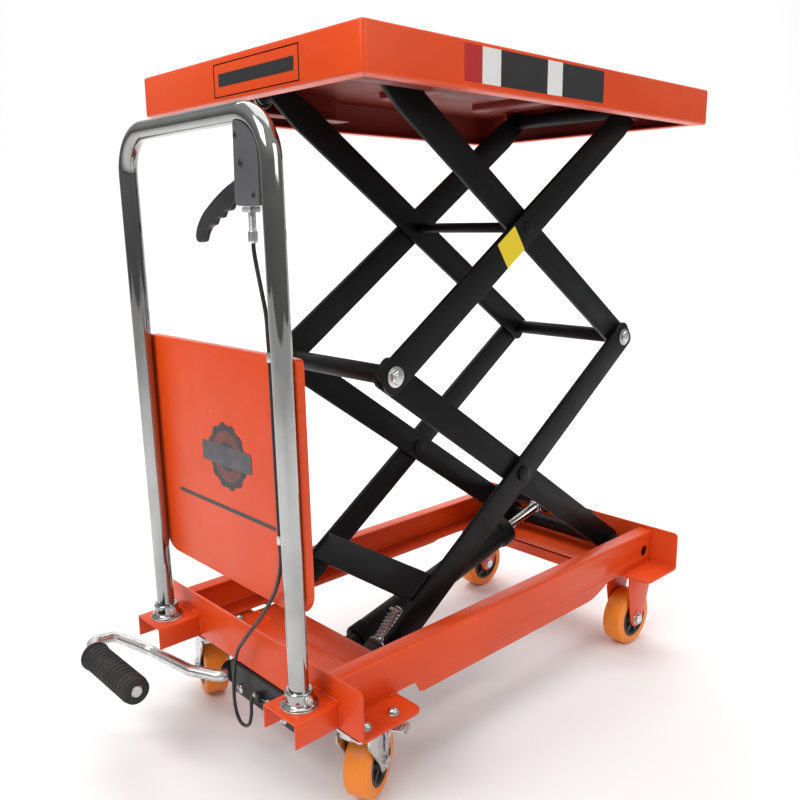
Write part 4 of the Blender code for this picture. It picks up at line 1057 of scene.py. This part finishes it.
def hydraulics():
    axis = (ROD_PIN - FOOT_PIN).normalized()
    length = (ROD_PIN - FOOT_PIN).length
    wide = length - 0.112
    eye = lathe([(0.0084, -0.0256), (0.0155, -0.0256), (0.0155, 0.0256), (0.0084, 0.0256)], FOOT_PIN,
        (0, 1, 0), 40)
    barrel = turned(softened([(0, 0.006), (0.015, 0.006), (0.015, 0.026), (0.0215, 0.026), (0.023, 0.028),
        (0.023, 0.05), (0.0222, 0.052), (0.0222, wide - 0.03), (0.0228, wide - 0.029),
        (0.0228, wide - 0.022), (0.0255, wide - 0.0215), (0.0255, wide), (0.0152, wide),
        (0.0152, wide - 0.05), (0, wide - 0.05)], 0.0007), FOOT_PIN, axis, 56)
    put("cylinder_barrel", [eye, barrel], "black", "cylinder", "cylinder_tube")
    shank = turned(softened([(0, 0.17), (0.008, 0.17), (0.008, length - 0.022), (0.011, length - 0.022),
        (0.011, length - 0.015), (0, length - 0.015)], 0.0005), FOOT_PIN, axis, 40)
    eye = lathe([(0.0108, -0.0123), (0.018, -0.0123), (0.018, 0.0123), (0.0108, 0.0123)], ROD_PIN,
        (0, 1, 0), 44)
    put("piston_shaft", [shank, eye], "chrome", "rod", "piston_rod")
    ports = [hexagon(FOOT_PIN + axis * 0.04, (0, -1, 0), 0.015, (0.02, 0.029)),
        lathe(disc(0.0052, 0.0285, 0.0345), FOOT_PIN + axis * 0.04, (0, -1, 0), 28)]
    put("cylinder_port", ports, "zinc", "cylinder")

    at = CUP
    way = CUP_WAY
    cup = turned(softened([(0, -0.034), (0.0155, -0.034), (0.0175, -0.032), (0.0175, -0.004),
        (0.0166, -0.003), (0.0166, 0.000), (0.0175, 0.001), (0.0175, 0.004), (0.0146, 0.004),
        (0.0146, -0.03), (0, -0.03)], 0.0006), at, way, 44)
    put("plunger_cup", cup, "pump", "base")
    side = Vector((0, 1, 0))
    up = way.cross(side)
    turns = 10
    steps = 28
    path = []
    for i in range(turns * steps + 1):
        turn = 2 * pi * i / steps
        path.append(at + way * (-0.006 + 0.0603 * i / (turns * steps)) + spoke(side, up, turn, 0.0105))
    put("plunger_spring", swept(path, 0.0016, 12), "spring", "plunger", "pump_spring")
    stem = turned(softened([(0, -0.008), (0.006, -0.008), (0.006, 0.056), (0.0135, 0.056), (0.0135, 0.059),
        (0.0125, 0.06), (0, 0.06)], 0.0005), at, way, 40)
    cap = hexagon(at, way, 0.013, (0.0598, 0.065), 0.002)
    put("plunger_stem", [stem, cap], "steel", "plunger", "pump_plunger")

    body = prism(rounded(-0.392, -0.332, 0.085, 0.1382, (0.01, 0.01, 0.003, 0.003), 5), "Y", (-0.102, 0.05))
    lid = prism(rounded(-0.388, -0.336, 0.0888, 0.1345, (0.008, 0.008, 0.003, 0.003), 5), "Y",
        (-0.1035, -0.1015))
    stop = prism(rounded(-0.033, -0.025, 0.106, 0.12, 0.002), "X", (-0.401, -0.391))
    stem = [lathe(disc(0.006, 0.049, 0.0788), PEDAL_AXLE, (0, 1, 0))]
    put("pump_block", [body, lid, stop] + stem, "pump", "base", "pump_body", ease=0.0012, segments=3)
    bits = [lathe(disc(0.0098, 0.0783, 0.0797), PEDAL_AXLE, (0, 1, 0)),
        hexagon(PEDAL_AXLE, (0, 1, 0), 0.0145, (0.0796, 0.0825))]
    for x in (-0.382, -0.342):
        for z in (0.095, 0.128):
            bits.append(hexagon((x, 0, z), (0, -1, 0), 0.007, (0.1032, 0.1058), 0.0008))
    bits += [lathe([(0, -0.0015), (0.003, -0.0015), (0.003, 0.0085), (0.0055, 0.0085), (0.005, 0.0103),
            (0, 0.0105)], (-0.392, -0.085, 0.108), (-1, 0, 0)),
        hexagon((-0.392, 0.022, 0.104), (-1, 0, 0), 0.012, (-0.001, 0.0048), 0.0015),
        hexagon((-0.356, 0.01, 0.085), (0, 0, -1), 0.014, (-0.001, 0.0055), 0.0)]
    put("pump_fittings", bits, "zinc", "base")
    hose = curve_points([HOSE_START, (-0.318, -0.04, 0.11), (-0.3, -0.044, 0.108),
        (-0.275, -0.05, 0.104), (-0.25, -0.052, 0.1), (-0.225, -0.052, 0.101), (-0.205, -0.049, 0.109)], 8)
    put("pump_hose", swept(hose, 0.0042, 20), "cable", "base")
    ends = [hexagon(HOSE_START, (1, 0, 0), 0.013, (-0.001, 0.01)),
        lathe(disc(0.0055, 0.008, 0.018), HOSE_START, (1, 0, 0))]
    put("pump_hose_end", ends, "zinc", "base")


# ---------------------------------------------------------------- handle end
# the handle's tube: half its width, its radius and bend, its ends, and how far it leans
POST_Y = 0.167
POST_R = 0.0125
POST_BEND = 0.055
POST_FOOT = 0.18
POST_TOP = 0.875
LEAN = atan2(-0.4385 + 0.427, 0.875 - 0.1795)


def lean_x(z):
    return -0.427 + (z - 0.1795) * tan(LEAN)


def handle_line(steps):
    """The middle line of the bent handle tube, from foot to foot."""
    ends = ((-POST_Y, POST_FOOT), (-POST_Y, POST_TOP), (POST_Y, POST_TOP), (POST_Y, POST_FOOT))
    return bent([(lean_x(z), y, z) for y, z in ends], POST_BEND, steps)


def handle():
    up = Vector((sin(LEAN), 0, cos(LEAN)))
    put("push_handle", swept(handle_line(20), POST_R, 48), "chrome", "base", "handle_tube",
        sharp=60)
    for side in (-1, 1):
        w = word(side)
        prof = []
        for y, first in ((0.137, 180), (0.196, 90)):
            prof += arc(y, 0.174, 0.004, first, first - 90, 5)
        prof = [(0.133, 0.145)] + prof + [(0.2, 0.145), (0.197, 0.145), (0.197, 0.1742), (0.1962, 0.175),
            (0.1368, 0.175), (0.136, 0.1742), (0.136, 0.145)]
        put("bracket_" + w, prism([(side * y, z) for y, z in prof], "X", (-0.458, -0.3903)), "orange",
            "base", "handle_bracket_" + w, ease=0.0006)
        welds = [bead([(-0.3906, side * 0.1332, 0.147), (-0.3906, side * 0.1332, 0.175)], 0.0024),
            bead([(-0.3906, side * 0.1998, 0.147), (-0.3906, side * 0.1998, 0.175)], 0.0024),
            bead([(-0.3906, side * 0.136, 0.178), (-0.3906, side * 0.197, 0.178)], 0.0024)]
        put("bracket_welds_" + w, welds, "orange", "base")
        at = Vector((lean_x(0.1788), side * POST_Y, 0.1788))
        collar = turned(softened([(0.0128, 0), (0.0225, 0), (0.0225, 0.0032), (0.0195, 0.0046),
            (0.0178, 0.0066), (0.0175, 0.0085), (0.0175, 0.019), (0.0166, 0.0204), (0.0152, 0.021),
            (0.0128, 0.021)], 0.0006), at, up, 64)
        put("collar_" + w, collar, "chrome", "base", "handle_collar_" + w)
        boss = [lathe(disc(0.0058, 0.015, 0.0205), (at.x, at.y, at.z + 0.0125), (0, -1, 0), 32),
            lathe([(0, 0.02), (0.0044, 0.02), (0.0044, 0.0232), (0.0024, 0.0236), (0.0024, 0.0222),
            (0, 0.0222)], (at.x, at.y, at.z + 0.0125), (0, -1, 0), 32, 0.0003)]
        put("collar_screw_" + w, boss, "zinc", "base")
        hoop = [at + Vector((p, q, -0.0002)) for p, q in arc(0, 0, 0.0228, 0, 360, 80)[:-1]]
        put("collar_weld_" + w, swept(hoop, ripple(0.0012), 8, loop=True), "zinc", "base")


PANEL_LOW = 0.285


def panel():
    base = PANEL_LOW
    height = 0.32
    t = 0.0015

    def ring(inset, x, r_low=0.034, r_top=0.006):
        rl, rt = max(r_low - inset, 0.0008), max(r_top - inset, 0.0006)
        return [(x, y, z) for y, z in rounded(-0.175 + inset, 0.175 - inset, inset, height - inset,
            (rl, rl, rt, rt), 8)]

    rows = []
    for k in range(6):
        turn = 0.5 * pi * k / 5
        rows.append(ring(0.003 - 0.003 * sin(turn), 0.003 - 0.003 * cos(turn)))
    rows += [ring(0, 0.0114), ring(0.0003, 0.012), ring(t, 0.012), ring(t, 0.0045), ring(0.0022, 0.0022),
        ring(0.004, t)]
    mesh = lofted(rows)
    front = lean_x(base) + POST_R / cos(LEAN) + 0.0003
    place = Matrix.Translation((front, 0, base)) @ Matrix.Rotation(LEAN, 4, "Y")
    mesh.transform(place)
    put("front_panel", mesh, "orange", "base", "handle_panel", sharp=30)
    return place


# the cable's route, from the adjuster down the near post to the pump
CABLE = [
    (-0.4375, -0.1262, 0.735), (-0.4375, -0.1266, 0.725), (-0.4372, -0.131, 0.705), (-0.4368, -0.1375, 0.68),
    (-0.4368, -0.144, 0.655), (-0.4395, -0.15, 0.63), (-0.4401, -0.1522, 0.608), (-0.4393, -0.1522, 0.56),
    (-0.4383, -0.1522, 0.5), (-0.4373, -0.1522, 0.44), (-0.4365, -0.1522, 0.39), (-0.436, -0.1515, 0.36),
    (-0.432, -0.138, 0.33), (-0.424, -0.11, 0.295), (-0.42, -0.075, 0.255), (-0.415, -0.035, 0.215),
    (-0.409, 0.002, 0.175), (-0.405, 0.018, 0.14), (-0.403, 0.026, 0.11), (-0.402, 0.027, 0.08),
    (-0.401, 0.02, 0.06), (-0.4, 0.008, 0.055), (-0.399, -0.004, 0.062), (-0.398, -0.009, 0.08),
    (-0.3972, -0.009, 0.097), (-0.3966, -0.012, 0.109), (-0.3962, -0.018, 0.113), (-0.3962, -0.0247, 0.113),
]


def cable_clip(name, at, toward):
    """A small metal clip that holds the cable against the post, with its screw."""
    at = Vector(at)
    toward = Vector(toward).normalized()
    side = Vector((0, 0, 1)).cross(toward)
    loop = arc(0, 0, 0.0034, 90, 270, 12)
    outline = [(0.009, 0.0034)] + loop + [(0.009, -0.0034)]
    outline += [(0.009, -0.0024)] + [(p * 0.72, q * 0.72) for p, q in reversed(loop)] + [(0.009, 0.0024)]
    low = [at + toward * p + side * q - Vector((0, 0, 0.0055)) for p, q in outline]
    high = [at + toward * p + side * q + Vector((0, 0, 0.0055)) for p, q in outline]
    screw = lathe([(0, 0.003), (0.003, 0.003), (0.003, 0.0044), (0.0018, 0.0052), (0, 0.0052)],
        at + toward * 0.005, -side, 24, 0.0003)
    put(name, [lofted([low, high]), screw], "zinc", "base", ease=0.0003)


def controls():
    x, yc, zc = pin("squeeze_lever_pivot")
    bend_y, bend_z = -POST_Y + POST_BEND, 0.82
    outline = [(-0.1095, 0.78), (-0.1105, 0.82), (-0.1115, 0.866)]
    outline += arc(bend_y, bend_z, 0.046, 90, 180, 12)[1:12]
    outline += [(-0.158, bend_z), (-0.158, 0.7757), (-0.1572, 0.7745), (-0.116, 0.7745), (-0.1115, 0.7765)]
    shell = prism(outline, "X", (x - 0.0115, x + 0.0115))
    seat = swept(handle_line(16), POST_R + 0.0002, 40)
    slots = [block((x - 0.0045, x + 0.0045), (-0.1395, -0.09), (0.781, 0.89)),
        block((x - 0.0045, x + 0.0045), (-0.114, -0.09), (0.77, 0.8))]
    shell = cut(shell, slots + [seat], ease=0.0022)
    put("release_shell", shell, "grey", "base", "release_housing")
    bits = []
    for s_ in (-1, 1):
        at = (x, yc, zc)
        bits.append(lathe([(0, 0.0104), (0.0052, 0.0104), (0.005, 0.0118), (0.003, 0.0126), (0, 0.0127)],
            at, (s_, 0, 0), 32, 0.0003))
        for py, pz in ((-0.1165, 0.85), (-0.148, 0.785)):
            bits.append(lathe([(0, 0.0108), (0.003, 0.0108), (0.0028, 0.0122), (0.0012, 0.0126),
                (0.0012, 0.0118), (0, 0.0118)], (x, py, pz), (s_, 0, 0), 24, 0.0002))
    bits.append(lathe(disc(0.0034, -0.0105, 0.0105), (x, yc, zc), (1, 0, 0), 24, 0.0002))
    put("release_screws", bits, "plastic", "base")

    outer = [(-0.1033, 0.8067), (-0.115, 0.819), (-0.115, 0.8245), (-0.119, 0.829), (-0.125, 0.831),
        (-0.131, 0.829), (-0.135, 0.824), (-0.136, 0.819), (-0.134, 0.812), (-0.126, 0.8), (-0.115, 0.789),
        (-0.103, 0.7825), (-0.0935, 0.7775), (-0.087, 0.7712), (-0.08, 0.7702), (-0.0735, 0.769),
        (-0.069, 0.7632), (-0.063, 0.7622), (-0.056, 0.7612), (-0.051, 0.7552), (-0.045, 0.7535),
        (-0.038, 0.7505), (-0.031, 0.7435), (-0.0265, 0.736), (-0.018, 0.734), (-0.01, 0.7348),
        (-0.0068, 0.739), (-0.0075, 0.746), (-0.013, 0.756), (-0.026, 0.7688), (-0.04, 0.7775),
        (-0.056, 0.7865), (-0.074, 0.795), (-0.088, 0.8005)]
    blade = prism(smoothed(outer, 3), "X", (x - 0.0039, x + 0.0039))
    put("squeeze_blade", blade, "plastic", "squeeze_lever", "release_lever", ease=0.0022, segments=4,
        sharp=50)

    at = (x, -0.1262, 0.7742)
    down = (0, 0, -1)
    nut = [hexagon(at, down, 0.02, (0.0004, 0.0068)),
        lathe(disc(0.0042, 0.0065, 0.0275), at, down, 32, 0.0003),
        lathe([(0, 0.027), (0.0056, 0.027), (0.0057, 0.028), (0.0057, 0.0385), (0.0046, 0.0404),
            (0, 0.0404)], at, down, 36, 0.0004)]
    pitch = 0.0019
    for k in range(9):
        thread = enumerate(arc(at[0], at[1], 0.0043, 0, 360, 28))
        nut.append(swept([(p, q, at[2] - 0.008 - pitch * k - pitch * i / 28) for i, (p, q) in thread],
            0.0004, 6))
    put("adjuster", nut, "zinc", "base", "cable_adjuster")

    line = curve_points(CABLE, 5)
    put("cable_sheath", swept(line, 0.0025, 16), "cable", "base", "release_cable", sharp=60)
    put("cable_ferrules", lathe([(0, 0.0), (0.0036, 0.0), (0.0036, 0.0075), (0.0028, 0.0085), (0, 0.0085)],
        (-0.3962, -0.025, 0.113), (0, 1, 0), 28, 0.0003), "zinc", "base")
    put("cable_wire", swept([(-0.3962, -0.033, 0.113), (-0.3962, -0.042, 0.1135),
        (-0.3962, -0.052, 0.1145)], 0.0008, 10), "steel", "base")
    put("cable_nipple", lathe(disc(0.0028, -0.0035, 0.0035), (-0.3962, -0.0535, 0.1147), (1, 0, 0),
        20, 0.0003), "zinc", "valve")
    for n, (cx, cy, cz) in ((1, CABLE[6]), (2, CABLE[10])):
        cable_clip("cable_clip_%d" % n, (cx, cy, cz), (lean_x(cz) - cx, -POST_Y - cy, 0))

    plate = prism(smoothed([(-0.007, -0.006), (0.005, -0.007), (0.033, 0.003), (0.036, 0.008),
        (0.032, 0.012), (0.001, 0.007), (-0.006, 0.004)], 4), "X", (-0.0024, 0.0024))
    plate.transform(Matrix.Translation(pin("valve_lever_pivot")))
    put("valve_arm", plate, "zinc", "valve", "valve_lever", ease=0.0005)


GRIP_LINE = (-0.531, 0, 0.14)            # the grip lies along Y through this point


def pedal():
    x, y, z = pin("pedal_hinge")
    path = bent([(x - 0.003, y - 0.001, z), (-0.402, 0.066, z), (-0.424, 0.112, 0.108),
        (-0.4415, 0.203, 0.112), (-0.479, 0.241, 0.135), (-0.517, 0.238, 0.14), (-0.531, 0.203, 0.14),
        (-0.531, 0.062, 0.14)], (0.014, 0.025, 0.03, 0.02, 0.02, 0.02), 12)
    hub = turned(softened([(0.0064, 0.0507), (0.0128, 0.0507), (0.0135, 0.0515), (0.0135, 0.077),
        (0.0128, 0.0778), (0.0064, 0.0778)], 0.0006), (x, 0, z), (0, 1, 0), 44)
    put("pedal_bar", swept(path, 0.0085, 36), "zinc", "pedal", "foot_pedal", sharp=50)
    put("pedal_hub", hub, "black", "pedal", sharp=50)
    ribs = 13
    start = 0.066
    pitch = (0.1885 - start) / ribs
    prof = [(0.0087, start - 0.0058), (0.017, start - 0.0058), (0.0185, start - 0.0044),
        (0.0187, start - 0.002)]
    for i in range(ribs):
        a = start + i * pitch
        for f, r in ((0.02, 0.0168), (0.12, 0.0174), (0.22, 0.0194), (0.34, 0.02), (0.52, 0.02),
            (0.64, 0.0194), (0.76, 0.0174), (0.88, 0.0168)):
            prof.append((r, a + f * pitch))
    prof += [(0.0184, 0.1886), (0.0206, 0.1896), (0.0214, 0.1908), (0.0214, 0.193), (0.0204, 0.1944),
        (0.0087, 0.1944)]
    put("pedal_sleeve", turned(prof, GRIP_LINE, (0, 1, 0), 48), "rubber", "pedal", "pedal_grip",
        sharp=60)
    end_disc = lathe([(0, 0.0591), (0.007, 0.0591), (0.008, 0.06), (0.008, 0.061), (0, 0.061)],
        GRIP_LINE, (0, 1, 0), 32, 0.0003)
    put("pedal_end_disc", end_disc, "zinc", "pedal")


# ---------------------------------------------------------------- plain coloured patches
def patches(place):
    """Blank coloured areas where the real object is printed; nothing is written on them."""
    y = -HALF_Y
    out = (y - 0.0003, y + 0.0002)

    def side_patch(name, x, z, mat, lift=0.0):
        put(name, prism(rounded(x[0], x[1], z[0], z[1], 0.0012, 3), "Y", (out[0] - lift, out[1])), mat,
            "platform")

    def end_patch(name, yy, z, mat, lift=0.0):
        x = -(DHI.x - DLO.x) / 2
        put(name, prism(rounded(yy[0], yy[1], z[0], z[1], 0.0012, 3), "X", (x - 0.0003 - lift, x + 0.0002)),
            mat, "platform")

    low, high = 0.915, 0.9565
    side_patch("patch_side_1", (-0.215, -0.1842), (low, high), "red")
    side_patch("patch_side_2", (-0.1838, -0.1502), (low, high), "white")
    side_patch("patch_side_3", (-0.1498, -0.0582), (low, high), "ink")
    side_patch("patch_side_4", (-0.0578, -0.0262), (low, high), "white")
    side_patch("patch_side_5", (-0.0258, 0.069), (low, high), "ink")
    a, b, c, d = -0.131, 0.049, 0.9125, 0.953
    line = 0.0012
    frame_lines = (((a, b), (c, c + line)), ((a, b), (d - line, d)), ((a, a + line), (c, d)),
        ((b - line, b), (c, d)))
    for n, (yy, zz) in enumerate(frame_lines):
        end_patch("patch_end_%d" % n, yy, zz, "ink", 0.0 if n < 2 else 0.0001)
    end_patch("patch_end_bar", (-0.121, 0.038), (0.925, 0.9405), "ink")

    def on_panel(name, outline, mat, lift):
        mesh = prism(outline, "X", (-lift, 0.0002))
        mesh.transform(place)
        put(name, mesh, mat, "base")

    cy, cz = -0.016, 0.461 - PANEL_LOW
    cog = []
    for k in range(96):
        turn = 2 * pi * k / 96
        r = 0.0455 if (k // 4) % 2 else 0.0425
        cog.append((cy + r * cos(turn), cz + r * sin(turn)))
    on_panel("patch_cog", cog, "ink", 0.0003)
    on_panel("patch_cog_disc", arc(cy, cz, 0.0345, 0, 360, 60)[:-1], "russet", 0.0004)
    on_panel("patch_cog_core", arc(cy, cz, 0.02, 0, 360, 48)[:-1], "ink", 0.0005)
    on_panel("patch_banner", rounded(-0.0725, 0.0445, cz - 0.0135, cz + 0.0135, 0.003, 3), "slate", 0.0006)
    on_panel("patch_line", rounded(-0.118, 0.116, 0.101, 0.1065, 0.001, 3), "ink", 0.0003)

    along = Vector((cos(SLOPE), 0, sin(SLOPE)))
    over = Vector((-sin(SLOPE), 0, cos(SLOPE)))
    rows = []
    for y in (-0.1272, -0.1268):
        rows.append([UP_X + along * p + over * q + Vector((0, y, 0))
            for p, q in rounded(-0.0725, -0.0255, -0.0222, 0.0205, 0.0015, 3)])
    put("patch_arm", lofted(rows), "yellow", "upper_outer")


# ---------------------------------------------------------------- studio
LENS_MM = 37.46565
SENSOR_MM = 36


def studio():
    eye = Vector((-0.9681, -0.9273, 0.7512)) + SHIFT
    a, e, roll = radians(-43.2365), radians(11.796), radians(-0.5374)
    back = Vector((sin(a) * cos(e), -cos(a) * cos(e), sin(e)))
    right = Vector((0, 0, 1)).cross(back).normalized()
    up = back.cross(right)
    r2 = right * cos(roll) + up * sin(roll)
    u2 = up * cos(roll) - right * sin(roll)
    cam = bpy.data.cameras.new("camera")
    cam.sensor_width = SENSOR_MM
    cam.lens = LENS_MM
    cam.clip_start = 0.02
    cam.clip_end = 60
    ob = bpy.data.objects.new("camera", cam)
    ob.matrix_world = Matrix(((r2.x, u2.x, back.x, eye.x), (r2.y, u2.y, back.y, eye.y),
        (r2.z, u2.z, back.z, eye.z), (0, 0, 0, 1)))
    link(ob)
    bpy.context.scene.camera = ob

    ahead = Vector((-back.x, -back.y, 0)).normalized()
    aside = Vector((ahead.y, -ahead.x, 0))
    prof = [(-5.0, 0.0), (2.4, 0.0)]
    prof += arc(2.4, 1.6, 1.6, -90, 0, 16)[1:]
    prof.append((4.0, 7.0))
    bm = bmesh.new()
    rows = []
    for s in (-7.0, 7.0):
        rows.append([bm.verts.new(ahead * p + aside * s + Vector((0, 0, h))) for p, h in prof])
    for i in range(len(prof) - 1):
        bm.faces.new((rows[0][i], rows[1][i], rows[1][i + 1], rows[0][i + 1]))
    bmesh.ops.recalc_face_normals(bm, faces=bm.faces)
    mesh = bpy.data.meshes.new("sweep")
    bm.to_mesh(mesh)
    bm.free()
    floor = bpy.data.objects.new("studio_sweep", mesh)
    link(floor)
    mat, tree, shader, coord = nodes_of("pale_floor")
    tree.links.new(mix(tree, noise(tree, coord, 1.5, 2), (0.9, 0.9, 0.9), (0.93, 0.93, 0.93)),
        shader.inputs["Base Color"])
    shader.inputs["Roughness"].default_value = 0.9
    shader.inputs["Specular IOR Level"].default_value = 0.1
    mesh.materials.append(mat)
    mesh.shade_smooth()

    world = bpy.data.worlds.new("studio")
    world.use_nodes = True
    tree = world.node_tree
    bg = tree.nodes["Background"]
    coord = tree.nodes.new("ShaderNodeTexCoord")
    split = tree.nodes.new("ShaderNodeSeparateXYZ")
    tree.links.new(coord.outputs["Generated"], split.inputs["Vector"])
    node = tree.nodes.new("ShaderNodeValToRGB")
    band = node.color_ramp
    for _ in range(3):
        band.elements.new(0.5)
    greys = ((0.0, 0.25), (0.46, 0.25), (0.56, 0.42), (0.75, 0.85), (1.0, 1.0))
    for element, (at, v) in zip(band.elements, greys):
        element.position = at
        element.color = (v, v, v, 1)
    remap = tree.nodes.new("ShaderNodeMapRange")
    remap.inputs["From Min"].default_value = -1
    remap.inputs["From Max"].default_value = 1
    tree.links.new(split.outputs["Z"], remap.inputs["Value"])
    tree.links.new(remap.outputs["Result"], node.inputs["Fac"])
    tree.links.new(node.outputs["Color"], bg.inputs["Color"])
    bg.inputs["Strength"].default_value = 0.6
    bpy.context.scene.world = world
    bpy.context.scene.view_settings.view_transform = "Standard"

    def lamp(name, at, look, size, power, tint=(1, 1, 1)):
        data = bpy.data.lights.new(name, "AREA")
        data.shape = "RECTANGLE"
        data.size, data.size_y = size
        data.energy = power
        data.color = tint
        o = bpy.data.objects.new(name, data)
        o.location = at
        o.rotation_euler = (Vector(look) - Vector(at)).to_track_quat("-Z", "Y").to_euler()
        link(o)

    lamp("key", (-2.2, -0.2, 2.2), (0, 0, 0.45), (1.4, 1.4), 38)
    lamp("front_fill", (0.4, -2.8, 1.7), (0, 0, 0.45), (1.8, 1.4), 20)
    lamp("top", (0.2, 0.2, 3.2), (0, 0, 0), (2.6, 2.6), 34)
    wall = ahead * 3.4
    lamp("wall", (ahead * 1.2 + Vector((0, 0, 3.0))), (wall.x, wall.y, 0.9), (4.0, 1.2), 90)


platform()
rails()
frame_ends()
rear_wheels()
casters()
arms()
hydraulics()
handle()
PANEL = panel()
controls()
pedal()
patches(PANEL)
studio()
